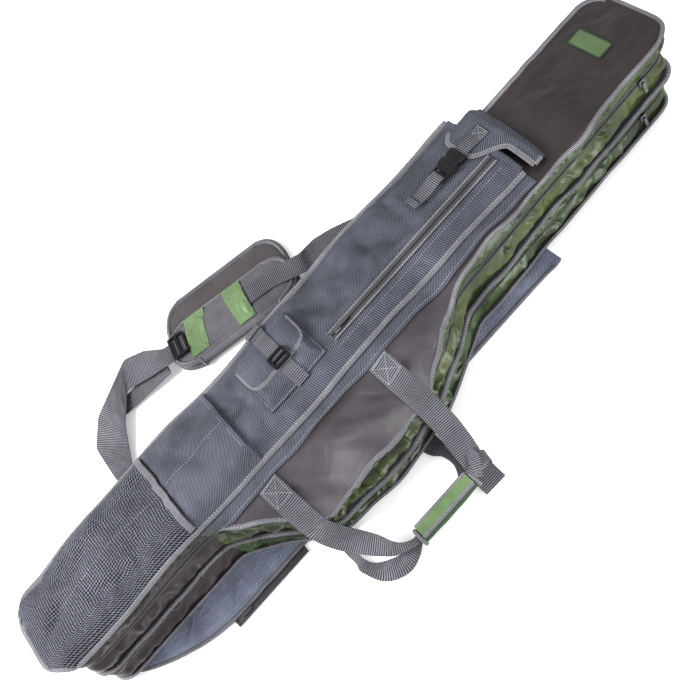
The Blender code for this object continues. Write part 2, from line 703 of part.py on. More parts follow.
prong_y = BUCKLE_WIDTH / 2 - WALL - 2 * GAP
plug_base = SOCKET_X - GAP
plug_loop = [(plug_base, -BUCKLE_WIDTH / 2 + 0.002), (plug_base, -prong_y),
             (SOCKET_X + 0.020, -prong_y), (SOCKET_X + 0.020, -prong_y + 0.004),
             (plug_base + 0.001, -prong_y + 0.004), (plug_base + 0.001, -0.002),
             (SOCKET_X + 0.014, -0.002)]
plug_loop = plug_loop + [(x, -y) for x, y in reversed(plug_loop)]
plug_loop = plug_loop + [(BUCKLE_START_X, BUCKLE_WIDTH / 2 - 0.003),
                         (BUCKLE_START_X, -BUCKLE_WIDTH / 2 + 0.003)]
plug_loop = [(x, y + BUCKLE_Y) for x, y in plug_loop]
slot_half = WEB_NARROW / 2 + 0.0005
plug_slots = []
for slot_x in (BUCKLE_START_X + 0.003, BUCKLE_START_X + 0.010):
    plug_slots.append(rounded_rect(slot_x, BUCKLE_Y - slot_half, slot_x + 0.004,
                                   BUCKLE_Y + slot_half, 0.001, 1))
plate("buckle_plug", [plug_loop] + plug_slots, PRONG_Z, PRONG_THICK, PLASTIC, plug_pivot)
box("buckle_tail", (BUCKLE_START_X + 0.008 - TAIL_LENGTH, BUCKLE_Y - WEB_NARROW / 2,
                    PRONG_Z + PRONG_THICK + GAP),
    (BUCKLE_START_X + 0.008, BUCKLE_Y + WEB_NARROW / 2, PRONG_Z + PRONG_THICK + GAP + WEB),
    WEBBING, plug_pivot)
box("buckle_anchor_web", (BUCKLE_START_X - 0.034, BUCKLE_Y - WEB_NARROW / 2, ON_POCKET_Z),
    (BUCKLE_START_X + 0.006, BUCKLE_Y + WEB_NARROW / 2, ON_POCKET_Z + WEB), WEBBING, front_pivot)

# ---- plain patch near the tip end ----
PATCH_END_X = END_X - 0.060
PATCH_WIDTH = 0.030
PATCH_LOW_Y = -0.058
PATCH_HIGH_Y = 0.010
PATCH_THICK = 0.0010
plate("cover_patch", [rounded_rect(PATCH_END_X - PATCH_WIDTH, PATCH_LOW_Y, PATCH_END_X,
                                   PATCH_HIGH_Y, 0.004)],
      COVER_TOP_Z + GAP, PATCH_THICK, GREEN_PATCH, front_pivot)

# ---- carrying handles ----
HANDLE_EDGE_Y = BULGE_Y - 0.004


def handle_run(name, x):
    """Webbing sewn to the cover, from the strip down to the bulge's edge."""
    start = STRIP_END_Y - 0.001
    sheet(name, 1, 6, on_cover(x - WEB_WIDE / 2, x + WEB_WIDE / 2, start, BULGE_Y + 0.001,
                              GAP + WEB / 2), WEB, WEBBING, front_pivot)


handle_run("front_handle_run_butt", HANDLE_LEFT_X)
handle_run("front_handle_run_tip", HANDLE_RIGHT_X)
HANDLE_HINGE_Z = cover_z(BULGE_Y) + 0.002
handle_pivot = pivot_at("front_handle_pivot", 0.0, HANDLE_EDGE_Y, HANDLE_HINGE_Z, front_pivot)
GRIP_Z = GRIP_R + 0.006
ACROSS_X = (1, 0, 0)
GRIP_END_X = GRIP_START_X + GRIP_LENGTH
ribbon("front_handle_butt", [
    ((HANDLE_LEFT_X, HANDLE_EDGE_Y - 0.002, HANDLE_HINGE_Z), ACROSS_X),
    ((HANDLE_LEFT_X + 0.012, HANDLE_EDGE_Y - 0.022, HANDLE_HINGE_Z - 0.022), (1, 0.1, 0)),
    ((HANDLE_LEFT_X + 0.036, HANDLE_EDGE_Y - 0.060, 0.040), (0.9, 0.4, 0.25)),
    ((GRIP_START_X - 0.036, GRIP_Y + 0.012, GRIP_Z + 0.004), (0.4, 0.2, 0.9)),
    ((GRIP_START_X - 0.002, GRIP_Y, GRIP_Z), (0.0, 0.1, 1.0))],
    WEB_WIDE * 0.62, WEBBING, handle_pivot)
ribbon("front_handle_tip", [
    ((HANDLE_RIGHT_X, HANDLE_EDGE_Y - 0.002, HANDLE_HINGE_Z), ACROSS_X),
    ((HANDLE_RIGHT_X - 0.002, HANDLE_EDGE_Y - 0.030, HANDLE_HINGE_Z - 0.030), ACROSS_X),
    ((HANDLE_RIGHT_X - 0.008, HANDLE_EDGE_Y - 0.085, 0.030), ACROSS_X),
    ((HANDLE_RIGHT_X - 0.010, HANDLE_EDGE_Y - 0.130, 0.006), ACROSS_X)],
    WEB_WIDE, WEBBING, handle_pivot)


def grip_point(u, v):
    """Padded wrap: a flattened tube closed at both ends."""
    x = GRIP_START_X + GRIP_LENGTH * u
    angle = 2 * math.pi * v
    return (x, GRIP_Y + GRIP_R * math.cos(angle), GRIP_Z + GRIP_R * 0.62 * math.sin(angle))


def closed_bar(name, length_cells, ring_cells, point, mat, pivot):
    """A capped cylinder whose rings are laid along point(u, v)."""
    bm = bmesh.new()
    bmesh.ops.create_cone(bm, cap_ends=True, cap_tris=False, segments=ring_cells,
                          radius1=1.0, radius2=1.0, depth=1.0)
    lengthwise = [edge for edge in bm.edges
                  if abs(edge.verts[0].co.z - edge.verts[1].co.z) > 0.5]
    bmesh.ops.subdivide_edges(bm, edges=lengthwise, cuts=length_cells - 1, use_grid_fill=True)
    for vert in bm.verts:
        turn = math.atan2(vert.co.y, vert.co.x) / (2 * math.pi)
        vert.co = Vector(point(vert.co.z + 0.5, turn))
    bmesh.ops.recalc_face_normals(bm, faces=bm.faces)
    mesh = bpy.data.meshes.new(name)
    bm.to_mesh(mesh)
    bm.free()
    return place(bpy.data.objects.new(name, mesh), mat, pivot)


closed_bar("handle_grip", 4, 10, grip_point, GREEN_PATCH, handle_pivot)
GRIP_FLAP_Z = GRIP_Z + GRIP_R * 0.62 + 0.0008
grip_flap_pivot = pivot_at("grip_flap_pivot", 0.0, GRIP_Y - 0.010, GRIP_FLAP_Z, handle_pivot)
box("grip_flap", (GRIP_START_X + 0.004, GRIP_Y - 0.010, GRIP_FLAP_Z),
    (GRIP_END_X - 0.004, GRIP_Y + 0.012, GRIP_FLAP_Z + 0.0025), GREEN_PATCH, grip_flap_pivot)

REAR_EDGE_Y = BULGE_Y - 0.010
rear_handle_pivot = pivot_at("rear_handle_pivot", 0.0, REAR_EDGE_Y, 0.0060)
ribbon("rear_handle", [
    ((HANDLE_LEFT_X + 0.012, REAR_EDGE_Y - 0.002, 0.0060), ACROSS_X),
    ((HANDLE_LEFT_X + 0.006, REAR_EDGE_Y - 0.040, 0.0030), (1, 0.05, 0)),
    ((HANDLE_LEFT_X + 0.020, GRIP_Y + 0.030, 0.0022), (0.75, 0.66, 0)),
    ((HANDLE_LEFT_X + 0.060, GRIP_Y + 0.006, 0.0022), (0.1, 1, 0)),
    ((-0.075, GRIP_Y + 0.004, 0.0022), (0.0, 1, 0)),
    ((HANDLE_RIGHT_X - 0.062, GRIP_Y + 0.010, 0.0022), (-0.1, 1, 0)),
    ((HANDLE_RIGHT_X - 0.042, GRIP_Y + 0.036, 0.0022), (-0.85, 0.5, 0)),
    ((HANDLE_RIGHT_X - 0.040, REAR_EDGE_Y - 0.040, 0.0030), (-1, 0, 0)),
    ((HANDLE_RIGHT_X - 0.040, REAR_EDGE_Y - 0.002, 0.0060), (-1, 0, 0))],
    WEB_WIDE * 0.60, WEBBING, rear_handle_pivot)
for side, anchor_x in (("butt", HANDLE_LEFT_X + 0.012), ("tip", HANDLE_RIGHT_X - 0.040)):
    box("rear_handle_anchor_" + side, (anchor_x - WEB_WIDE / 2, REAR_EDGE_Y + 0.001, 0.0052),
        (anchor_x + WEB_WIDE / 2, REAR_POCKET_Y - GAP, 0.0068), WEBBING)

# ---- shoulder strap ----
strap_pivot = pivot_at("shoulder_strap_pivot", 0.0, STRAP_HINGE_Y, STRAP_HINGE_Z)
TAB_TOP_Z = STRAP_HINGE_Z + WEB / 2
for side, tab_x in (("butt", STRAP_LEFT_X), ("tip", STRAP_RIGHT_X)):
    box("shoulder_tab_" + side, (tab_x - WEB_WIDE / 2, REAR_POCKET_SPINE_Y + GAP,
                                 STRAP_HINGE_Z - WEB / 2),
        (tab_x + WEB_WIDE / 2, STRAP_HINGE_Y - 0.001, TAB_TOP_Z), WEBBING)

along = Vector((math.cos(PAD_TILT), math.sin(PAD_TILT), 0.0))
over = Vector((-math.sin(PAD_TILT), math.cos(PAD_TILT), 0.0))
pad_middle = Vector((*PAD_CENTRE, 0.0))
PAD_TOP_Z = 3 * PAD_THICK + 0.002


def pad_frame(s, t, z):
    """World place of a point s along, t across and z above the pad's middle."""
    spot = pad_middle + along * s + over * t
    return (spot.x, spot.y, z)


UNDER_STRAP_Z = PAD_TOP_Z + GAP + WEB / 2
STRAP_ON_PAD_Z = UNDER_STRAP_Z + WEB + 2 * GAP
STRAP_T = -0.012           # the strap lies this far off the pad's middle line
half = PAD_LENGTH / 2
GLIDE_S = -half + 0.020    # the adjuster sits just inside the pad's butt end
side_dir = (over.x, over.y, 0.0)
ribbon("shoulder_strap_short", [
    ((STRAP_LEFT_X, STRAP_HINGE_Y + 0.001, STRAP_HINGE_Z), (-1, 0, 0)),
    ((STRAP_LEFT_X - 0.004, 0.180, 0.0030), (-1, 0, 0)),
    ((STRAP_LEFT_X + 0.000, 0.250, 0.0060), (-1, 0.15, 0)),
    ((STRAP_LEFT_X + 0.022, 0.310, 0.0120), (-0.9, 0.5, 0)),
    ((STRAP_LEFT_X + 0.066, 0.362, 0.0180), (-0.5, 0.85, 0.1)),
    ((STRAP_LEFT_X + 0.112, 0.372, 0.0250), (0.2, 1, 0.1)),
    (pad_frame(-half - 0.052, STRAP_T + 0.008, UNDER_STRAP_Z), (0.45, 0.9, 0)),
    (pad_frame(-half - 0.012, STRAP_T, UNDER_STRAP_Z), side_dir),
    (pad_frame(GLIDE_S + 0.004, STRAP_T, UNDER_STRAP_Z), side_dir)],
    WEB_WIDE, WEBBING, strap_pivot)
ribbon("shoulder_strap_long", [
    (pad_frame(GLIDE_S - 0.008, STRAP_T, STRAP_ON_PAD_Z), side_dir),
    (pad_frame(-half * 0.4, STRAP_T, STRAP_ON_PAD_Z), side_dir),
    (pad_frame(half * 0.4, STRAP_T, STRAP_ON_PAD_Z), side_dir),
    (pad_frame(half + 0.036, STRAP_T, STRAP_ON_PAD_Z), side_dir),
    (pad_frame(half + 0.080, STRAP_T - 0.002, 0.0160), (0.15, 0.75, 0.6)),
    ((0.160, 0.214, 0.0120), (0.55, 0.75, 0.1)),
    ((0.205, 0.176, 0.0050), (0.9, 0.35, 0)),
    ((STRAP_RIGHT_X, STRAP_HINGE_Y + 0.001, STRAP_HINGE_Z), (1, 0, 0))],
    WEB_WIDE, WEBBING, strap_pivot)

# folded pad: lower leaf on the ground, upper leaf folded back over it
LEAF_LOW_REACH = 0.098
LEAF_TOP_REACH = 0.034
FOLD_T = -0.058


def pad_point(u, v):
    """Padding from the upper leaf's free edge, round the fold, to the lower leaf's edge."""
    fold_r = PAD_THICK
    top_run = LEAF_TOP_REACH - FOLD_T
    low_run = LEAF_LOW_REACH - FOLD_T
    arc = math.pi * fold_r
    total = top_run + arc + low_run
    run = v * total
    centre_z = PAD_THICK * 1.5 + 0.0015
    if run < top_run:
        t = LEAF_TOP_REACH - run
        z = centre_z + fold_r
    elif run < top_run + arc:
        angle = math.pi / 2 + (run - top_run) / fold_r
        t = FOLD_T + fold_r * math.cos(angle)
        z = centre_z + fold_r * math.sin(angle)
    else:
        t = FOLD_T + run - top_run - arc
        z = centre_z - fold_r
    edge = t / LEAF_LOW_REACH if t > 0 else 0.6 * t / FOLD_T
    reach = half * (1 - 0.28 * abs(edge) ** 3)
    return pad_frame((2 * u - 1) * reach, t, z)


pad_pivot = pivot_at("shoulder_pad_pivot", *PAD_CENTRE, PAD_THICK, strap_pivot)
sheet("shoulder_pad", 6, 14, pad_point, PAD_THICK, COVER_CLOTH, pad_pivot)

glide_spot = pad_frame(GLIDE_S, STRAP_T, 0.0)
glide_pivot = pivot_at("strap_adjuster_pivot", *pad_frame(GLIDE_S, STRAP_T, STRAP_ON_PAD_Z),
                       strap_pivot)
glide_frame = (Matrix.Translation(glide_spot) @ Matrix.Rotation(PAD_TILT + math.pi / 2, 4, "Z"))
plate("strap_adjuster", slotted(0.0, 0.0, 0.034, WEB_WIDE + 0.010, 0.0045),
      STRAP_ON_PAD_Z + WEB / 2 + GAP, 0.0040, PLASTIC, glide_pivot, glide_frame)
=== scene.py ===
"""A two-compartment rod holdall lying on its back, its zipped side towards the viewer.

Metres; +X runs to the tip end of the rods, +Y to the spine and +Z up. Every fabric piece is a
fine grid or a swept tape with its own weave. The zip sliders, their pulls, the ladder buckle and
the strap adjuster are the frame's own solids.
"""
import math

import bmesh
import bpy
import numpy as np
from mathutils import Matrix, Vector, noise


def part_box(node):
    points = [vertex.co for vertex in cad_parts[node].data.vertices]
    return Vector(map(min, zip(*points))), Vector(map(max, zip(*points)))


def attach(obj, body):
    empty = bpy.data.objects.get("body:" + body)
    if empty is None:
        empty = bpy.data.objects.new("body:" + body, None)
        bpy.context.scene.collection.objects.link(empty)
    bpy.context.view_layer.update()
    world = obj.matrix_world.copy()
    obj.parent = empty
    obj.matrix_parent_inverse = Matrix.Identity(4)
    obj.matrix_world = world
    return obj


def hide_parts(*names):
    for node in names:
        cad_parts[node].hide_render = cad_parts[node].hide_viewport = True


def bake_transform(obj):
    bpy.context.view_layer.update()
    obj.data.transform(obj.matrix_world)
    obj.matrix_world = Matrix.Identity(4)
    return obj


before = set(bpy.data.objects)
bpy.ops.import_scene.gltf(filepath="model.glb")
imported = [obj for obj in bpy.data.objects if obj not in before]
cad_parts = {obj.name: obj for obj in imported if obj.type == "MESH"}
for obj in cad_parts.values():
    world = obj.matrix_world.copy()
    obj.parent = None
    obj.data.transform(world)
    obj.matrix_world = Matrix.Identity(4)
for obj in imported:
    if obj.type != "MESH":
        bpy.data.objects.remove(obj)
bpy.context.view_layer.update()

# ---- camera, floor and light ----
# A plain pale floor under a soft even sky, seen from above with the bag across the corners.
TARGET = Vector((-0.003, -0.014, 0.065))
CAMERA_DISTANCE = 1.655
CAMERA_TILT = math.radians(38)
CAMERA_ROLL = math.radians(-48.1)


def link(name, data):
    """A new object in the scene, at the origin."""
    made = bpy.data.objects.new(name, data)
    bpy.context.scene.collection.objects.link(made)
    return made


camera = link("camera", bpy.data.cameras.new("camera"))
camera.data.lens = 54.9
camera.data.sensor_width = 36.0
camera_turn = Matrix.Rotation(CAMERA_TILT, 4, "X") @ Matrix.Rotation(CAMERA_ROLL, 4, "Z")
camera.matrix_world = Matrix.Translation(
    TARGET + Vector((0, -math.sin(CAMERA_TILT), math.cos(CAMERA_TILT))) * CAMERA_DISTANCE) @ camera_turn
bpy.context.scene.camera = camera
bpy.context.scene.view_settings.view_transform = "Standard"
bpy.context.scene.view_settings.look = "Medium High Contrast"

world = bpy.data.worlds.new("sky")
world.use_nodes = True
world.node_tree.nodes["Background"].inputs["Color"].default_value = (1, 1, 1, 1)
world.node_tree.nodes["Background"].inputs["Strength"].default_value = 0.66
bpy.context.scene.world = world


def area_light(name, at, size, power):
    """A square soft box aimed at the middle of the bag."""
    lamp = bpy.data.lights.new(name, "AREA")
    lamp.size = size
    lamp.energy = power
    obj = link(name, lamp)
    obj.location = at
    obj.rotation_euler = (TARGET - Vector(at)).to_track_quat("-Z", "Y").to_euler()


area_light("key", (-1.6, 0.6, 1.5), 1.1, 66)
area_light("fill", (0.5, -2.0, 1.1), 1.2, 34)

bpy.ops.mesh.primitive_plane_add(size=14)
floor = bpy.context.object
floor.name = "floor"
paper = bpy.data.materials.new("paper")
paper.use_nodes = True
for socket_name, setting in (("Base Color", (0.90, 0.90, 0.90, 1)), ("Roughness", 0.9),
                             ("Emission Color", (1, 1, 1, 1)), ("Emission Strength", 0.22)):
    paper.node_tree.nodes["Principled BSDF"].inputs[socket_name].default_value = setting
floor.data.materials.append(paper)

# ---- back panel ----
# Dark coated cloth over thin foam; the lowest leaf of the bag, bound in grey all round.
END_X = 0.65
BODY_START_X = -0.622
SPINE_Y = 0.045
BULGE_START_X = -0.345
PANEL = 0.003
CLOTH = 0.0014
BACK_Z = 0.0139
DIVIDER_Z = 0.0639
COVER_Z = 0.1389
BULGE_Y = -0.192
SAG_FROM_Y = -0.100
SAG_REACH = 0.092
COVER_SAG = 0.058
DIVIDER_SAG = 0.020
BACK_SHORT = 0.034
DIVIDER_SHORT = 0.014
RIM_CORNERS = ((-0.085, 0.035), (-0.085, 0.060), (BULGE_Y, 0.060), (BULGE_Y, 0.060),
               (-0.127, 0.060), (-0.112, 0.035))
RIM_X = (None, BULGE_START_X, -0.205, 0.020, 0.160, None)
RIM_RUNS = (16, 46, 24, 38, 24, 82, 14)
CORNER_STEPS = 8
CORNER_R = 0.035


def clamp(share):
    """A share kept between 0 and 1."""
    return max(0.0, min(1.0, share))


def eased(share):
    """The share from 0 to 1, with a slow start and a slow end."""
    return share * share * (3 - 2 * share)


def add(tree, kind, settings=None, **inputs):
    """A node with its settings, and its inputs set or linked by name or by number."""
    made = tree.nodes.new(kind)
    for key, value in (settings or {}).items():
        setattr(made, key, value)
    for key, value in inputs.items():
        socket = made.inputs[int(key[1:])] if key[1:].isdigit() else made.inputs[key.replace("_", " ")]
        if isinstance(value, bpy.types.NodeSocket):
            tree.links.new(value, socket)
        else:
            socket.default_value = value
    return made


def cloth(name, colour, weave="rib", pitch=0.003, contrast=0.35, lift=0.0005, rough=0.75,
          sheen=0.08, mottle=0.30, crumple=0.0, painted_sheen_colour=None, gloss=0.20):
    """A woven material on UVs in metres: weave, uneven tone (strong enough on the satins to paint in
    highlights and shade), bump, creases if crumpled, and a painted sheen in painted_sheen_colour past y
    -0.12.
    """
    mat = bpy.data.materials.new(name)
    mat.use_nodes = True
    tree = mat.node_tree
    shader = tree.nodes["Principled BSDF"]
    coords = add(tree, "ShaderNodeTexCoord")
    period = 0.314 / pitch
    if weave == "mesh":
        cells = add(tree, "ShaderNodeTexVoronoi", {"voronoi_dimensions": "2D"},
                    Vector=coords.outputs["UV"], Scale=1 / pitch, Randomness=0.12)
        pattern = add(tree, "ShaderNodeMapRange", None, Value=cells.outputs["Distance"],
                      From_Min=0.28, From_Max=0.52).outputs["Result"]
    elif weave == "web":
        across = add(tree, "ShaderNodeTexWave", {"bands_direction": "X"},
                     Vector=coords.outputs["UV"], Scale=period, Distortion=0.6, Detail=1.0)
        along = add(tree, "ShaderNodeTexWave", {"bands_direction": "Y"},
                    Vector=coords.outputs["UV"], Scale=period * 0.9)
        pattern = add(tree, "ShaderNodeMath", {"operation": "MULTIPLY"},
                      i0=across.outputs["Fac"], i1=along.outputs["Fac"]).outputs[0]
        pattern = add(tree, "ShaderNodeMath", {"operation": "MULTIPLY_ADD"},
                      i0=pattern, i1=0.5, i2=across.outputs["Fac"]).outputs[0]
    elif weave == "rib":
        ribs = add(tree, "ShaderNodeTexWave", {"bands_direction": "DIAGONAL"},
                   Vector=coords.outputs["UV"], Scale=period, Distortion=0.8, Detail=1.5)
        breaks = add(tree, "ShaderNodeTexWave", {"bands_direction": "X"},
                     Vector=coords.outputs["UV"], Scale=period * 0.8)
        pattern = add(tree, "ShaderNodeMath", {"operation": "MULTIPLY"},
                      i0=ribs.outputs["Fac"], i1=breaks.outputs["Fac"]).outputs[0]
        pattern = add(tree, "ShaderNodeMath", {"operation": "MULTIPLY_ADD"},
                      i0=pattern, i1=0.4, i2=ribs.outputs["Fac"]).outputs[0]
    else:
        grain = add(tree, "ShaderNodeTexNoise", None, Vector=coords.outputs["UV"],
                    Scale=1 / pitch, Detail=2.0)
        pattern = grain.outputs["Fac"]
    # Uneven tone from slow noise; on the green satins, whose mottle is 0.80, it also stands in as
    # painted highlight and painted shade on the crinkles.
    tone_and_painted_glints = add(tree, "ShaderNodeTexNoise", None, Vector=coords.outputs["Object"],
              Scale=11.0, Detail=4.0, Roughness=0.6)
    shade = add(tree, "ShaderNodeMapRange", None, Value=tone_and_painted_glints.outputs["Fac"], From_Min=0.3,
                From_Max=0.7, To_Min=1 - mottle, To_Max=1 + mottle).outputs["Result"]
    weft = add(tree, "ShaderNodeMapRange", None, Value=pattern, To_Min=1 - contrast,
               To_Max=1 + contrast).outputs["Result"]
    amount = add(tree, "ShaderNodeMath", {"operation": "MULTIPLY"}, i0=shade, i1=weft).outputs[0]
    base = add(tree, "ShaderNodeRGB")
    base.outputs[0].default_value = (*colour, 1)
    tint = base.outputs[0]
    # Painted sheen: past y -0.12 (the cover's reel panel) the colour blends into a lighter second
    # colour that stands in for light grazing the sloping cloth.
    if painted_sheen_colour is not None:
        far = add(tree, "ShaderNodeRGB")
        far.outputs[0].default_value = (*painted_sheen_colour, 1)
        split = add(tree, "ShaderNodeSeparateXYZ", None, Vector=coords.outputs["Object"])
        reach = add(tree, "ShaderNodeMapRange", None, Value=split.outputs["Y"],
                    From_Min=-0.118, From_Max=-0.128)
        tint = add(tree, "ShaderNodeMix", {"data_type": "RGBA"}, i0=reach.outputs["Result"],
                   i6=tint, i7=far.outputs[0]).outputs[2]
    scaled = add(tree, "ShaderNodeVectorMath", {"operation": "SCALE"}, i0=tint, Scale=amount)
    tree.links.new(scaled.outputs[0], shader.inputs["Base Color"])
    bump = add(tree, "ShaderNodeBump", None, Height=pattern, Distance=lift, Strength=0.8)
    if crumple:
        folds = add(tree, "ShaderNodeTexNoise", {"noise_type": "RIDGED_MULTIFRACTAL"},
                    Vector=coords.outputs["Object"], Scale=30.0, Detail=4.0, Distortion=1.2)
        bump = add(tree, "ShaderNodeBump", None, Height=folds.outputs["Fac"], Distance=crumple,
                   Strength=1.0, Normal=bump.outputs["Normal"])
    tree.links.new(bump.outputs["Normal"], shader.inputs["Normal"])
    shader.inputs["Roughness"].default_value = rough
    shader.inputs["Specular IOR Level"].default_value = gloss
    shader.inputs["Sheen Weight"].default_value = sheen
    shader.inputs["Sheen Roughness"].default_value = 0.5
    return mat


# The cover's second, lighter colour is a painted sheen on the reel panel past y -0.12; the cloth itself
# is one dark colour.
COVER_CLOTH = cloth("cover_coated_cloth", (0.028, 0.021, 0.022), "plain", 0.0012, 0.22, 0.0002,
                    0.40, 0.05, 0.30, 0.0007, (0.054, 0.047, 0.055), 0.45)
BINDING = cloth("grey_binding_tape", (0.145, 0.143, 0.158), "web", 0.0024, 0.75, 0.0006)
THREAD = cloth("pale_thread", (0.52, 0.52, 0.55), "plain", 0.001, 0.1, 0.0001, 0.6)


def rim(short=0.0, inset=0.0):
    """Outline of a layer from the spine's butt corner round the zipped side to the tip corner.

    Every layer has the same number of stations, so that walls can be lofted between two of them.
    """
    first = BODY_START_X + inset
    last = END_X - short - inset
    corners = [(first, SPINE_Y - 2 * inset, 0.0)]
    for x, (y, radius) in zip(RIM_X, RIM_CORNERS):
        x = (first if y == RIM_CORNERS[0][0] and len(corners) == 1 else last) if x is None else x
        corners.append((x, y + inset, radius))
    corners.append((last, SPINE_Y - CORNER_R - 2 * inset, 0.0))
    curves = []
    for before, corner, after in zip(corners, corners[1:], corners[2:]):
        at = Vector(corner[:2])
        back = (Vector(before[:2]) - at).normalized()
        ahead = (Vector(after[:2]) - at).normalized()
        reach = corner[2] / math.tan(back.angle(ahead) / 2)
        curves.append((at + back * reach, at, at + ahead * reach))
    points = []
    start = Vector(corners[0][:2])
    for count, curve in zip(RIM_RUNS, curves + [None]):
        stop = curve[0] if curve else Vector(corners[-1][:2])
        points += [start.lerp(stop, k / count) for k in range(count)]
        if curve:
            for k in range(CORNER_STEPS):
                t = k / CORNER_STEPS
                points.append(curve[0] * (1 - t) ** 2 + curve[1] * 2 * t * (1 - t) + curve[2] * t * t)
            start = curve[2]
        else:
            points.append(stop)
    return points


def sag(y):
    """How far the cloth has sunk at y: none on the body, all of it at the reel bulge's edge."""
    return max(0.0, (SAG_FROM_Y - y) / SAG_REACH) ** 2


def cover_z(y):
    """Height of the cover's middle surface."""
    return COVER_Z - COVER_SAG * sag(y)


def above_cover(y, lift):
    """Height of a point that lies lift away from the cover, square to it."""
    slope = -COVER_SAG * 2 * max(0.0, (SAG_FROM_Y - y)) / SAG_REACH ** 2
    return cover_z(y) + lift * math.hypot(1, slope)


def divider_z(y):
    """Height of the divider's middle surface, which sags less."""
    return DIVIDER_Z - DIVIDER_SAG * sag(y)


def back_z(_):
    """Height of the back's middle surface, flat all over."""
    return BACK_Z


def fbm(x, y, z=0.0, scale=1.0, octaves=3):
    """Smooth noise about zero."""
    return noise.fractal(Vector((x * scale, y * scale, z)), 1.0, 2.0, octaves)


def settle(obj):
    """Turn the object's modifiers into plain mesh."""
    graph = bpy.context.evaluated_depsgraph_get()
    graph.update()
    mesh = bpy.data.meshes.new_from_object(obj.evaluated_get(graph), depsgraph=graph)
    obj.modifiers.clear()
    obj.data = mesh
    mesh.name = obj.name
    return obj


def smooth(mesh, angle=50):
    """Smooth shading that keeps folded edges sharp."""
    for face in mesh.polygons:
        face.use_smooth = True
    mesh.set_sharp_from_angle(angle=math.radians(angle))


# Where zips run straight: from x, to x, y at x = 0, its slope, z, and how far the calm reaches.
ZIP_RUNS = ((0.160, 0.600, -0.1325, 0.0306, 0.1014, 0.016),
            (0.160, 0.600, -0.1325, 0.0306, 0.0389, 0.016),
            (-0.010, 0.350, -0.045, 0.0, 0.1590, 0.025))
HARD_PARTS = ("_slider", "_pull", "buckle", "buckle_socket", "buckle_plug", "adjuster", "patch")
hard_spots = []
for part_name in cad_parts:
    if part_name.endswith(HARD_PARTS):
        low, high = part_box(part_name)
        hard_spots.append((Vector(low) + Vector(high)) / 2)


def limp(obj):
    """Lets sewn goods lie less than true: one slow field shared by everything joined together.

    It dies away near the hard fittings, the floor and the spine.
    """
    at = np.empty(len(obj.data.vertices) * 3, np.float32)
    obj.data.vertices.foreach_get("co", at)
    at = at.reshape(-1, 3).astype(float)
    x, y, z = at.T
    calm = np.ones(len(at))
    for spot in hard_spots:
        calm *= 1 - np.exp(-((at - np.array(spot)) ** 2).sum(1) / 0.05 ** 2)
    for from_x, to_x, run_y, slope, run_z, reach in ZIP_RUNS:
        past_end = np.clip(from_x - x, 0, 1) + np.clip(x - to_x, 0, 1)
        off = np.hypot(np.hypot(y - run_y - slope * x, z - run_z), past_end)
        calm *= 1 - np.exp(-(off / reach) ** 2)
    zipped = np.clip((-0.098 - y) / 0.030, 0, 1) * np.clip((y + 0.250) / 0.045, 0, 1)
    zipped *= np.clip((z - 0.007) / 0.004, 0, 1)
    lively = np.clip((z - 0.035) / 0.05, 0, 1)
    butt = np.clip((-0.33 - x) / 0.25, 0, 1)
    swing = (0.0040 * np.sin(17 * x + 1.1 + 14 * z) + 0.0030 * np.sin(41 * x + 2.0 - 25 * z)
             + 0.0016 * np.sin(83 * x + 40 * z)) * zipped * (1 + 0.6 * butt) * (0.35 + 0.65 * lively)
    middle = np.exp(-((x + 0.090) / 0.075) ** 2) * np.clip((-0.150 - y) / 0.040, 0, 1)
    swing -= 0.011 * middle * zipped * np.clip((0.095 - z) / 0.040, 0, 1)
    overhang = np.clip((y - 0.050) / 0.02, 0, 1) * (y < 0.10) * lively
    swing += 0.0022 * np.sin(15 * x + 0.6) * overhang
    high = np.clip((z - 0.085) / 0.03, 0, 1)
    clear = np.maximum(np.clip((0.030 - y) / 0.03, 0, 1), np.clip((z - 0.1465) / 0.004, 0, 1))
    rise = (0.0028 * np.sin(13 * x + 0.4) + 0.0022 * np.sin(29 * x + 18 * y + 2.2)) * high * clear
    at[:, 1] += swing * calm
    at[:, 2] += rise * calm * (1 + butt)
    obj.data.vertices.foreach_set("co", at.reshape(-1).astype(np.float32))
    obj.data.update()


def belongs(obj, body, nodes=(), stiff=False):
    """Lies limp unless stiff, moves with a body, and stands for frame nodes."""
    if not stiff:
        limp(obj)
    if body is not None:
        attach(obj, body)
    if nodes:
        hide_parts(*nodes)
    return obj


def sheet(name, points, thickness, mat, body, nodes=()):
    """Cloth laid through a grid of points, UVs in metres, given its thickness on both sides."""
    points = np.array(points, float)
    rows, columns = points.shape[:2]
    down = np.zeros((rows, columns))
    down[1:] = np.cumsum(np.linalg.norm(np.diff(points, axis=0), axis=2), axis=0)
    along = np.zeros((rows, columns))
    along[:, 1:] = np.cumsum(np.linalg.norm(np.diff(points, axis=1), axis=2), axis=1)
    along[:] = along[rows // 2]
    index = np.arange(rows * columns).reshape(rows, columns)
    faces = np.stack([index[:-1, :-1], index[1:, :-1], index[1:, 1:], index[:-1, 1:]], -1)
    mesh = bpy.data.meshes.new(name)
    mesh.from_pydata(points.reshape(-1, 3).tolist(), [], faces.reshape(-1, 4).tolist())
    layer = mesh.uv_layers.new(name="UVMap")
    corner = np.array([loop.vertex_index for loop in mesh.loops])
    uv = np.stack([along.reshape(-1)[corner], down.reshape(-1)[corner]], -1)
    layer.data.foreach_set("uv", uv.reshape(-1).astype(np.float32))
    obj = link(name, mesh)
    mesh.materials.append(mat)
    if thickness:
        wall = obj.modifiers.new("wall", "SOLIDIFY")
        wall.thickness = thickness
        wall.offset = 0.0
        settle(obj)
    smooth(obj.data)
    return belongs(obj, body, nodes)


def face_out(mesh):
    """Turns every face of a closed shell outwards."""
    shell = bmesh.new()
    shell.from_mesh(mesh)
    bmesh.ops.recalc_face_normals(shell, faces=shell.faces)
    shell.to_mesh(mesh)
    shell.free()


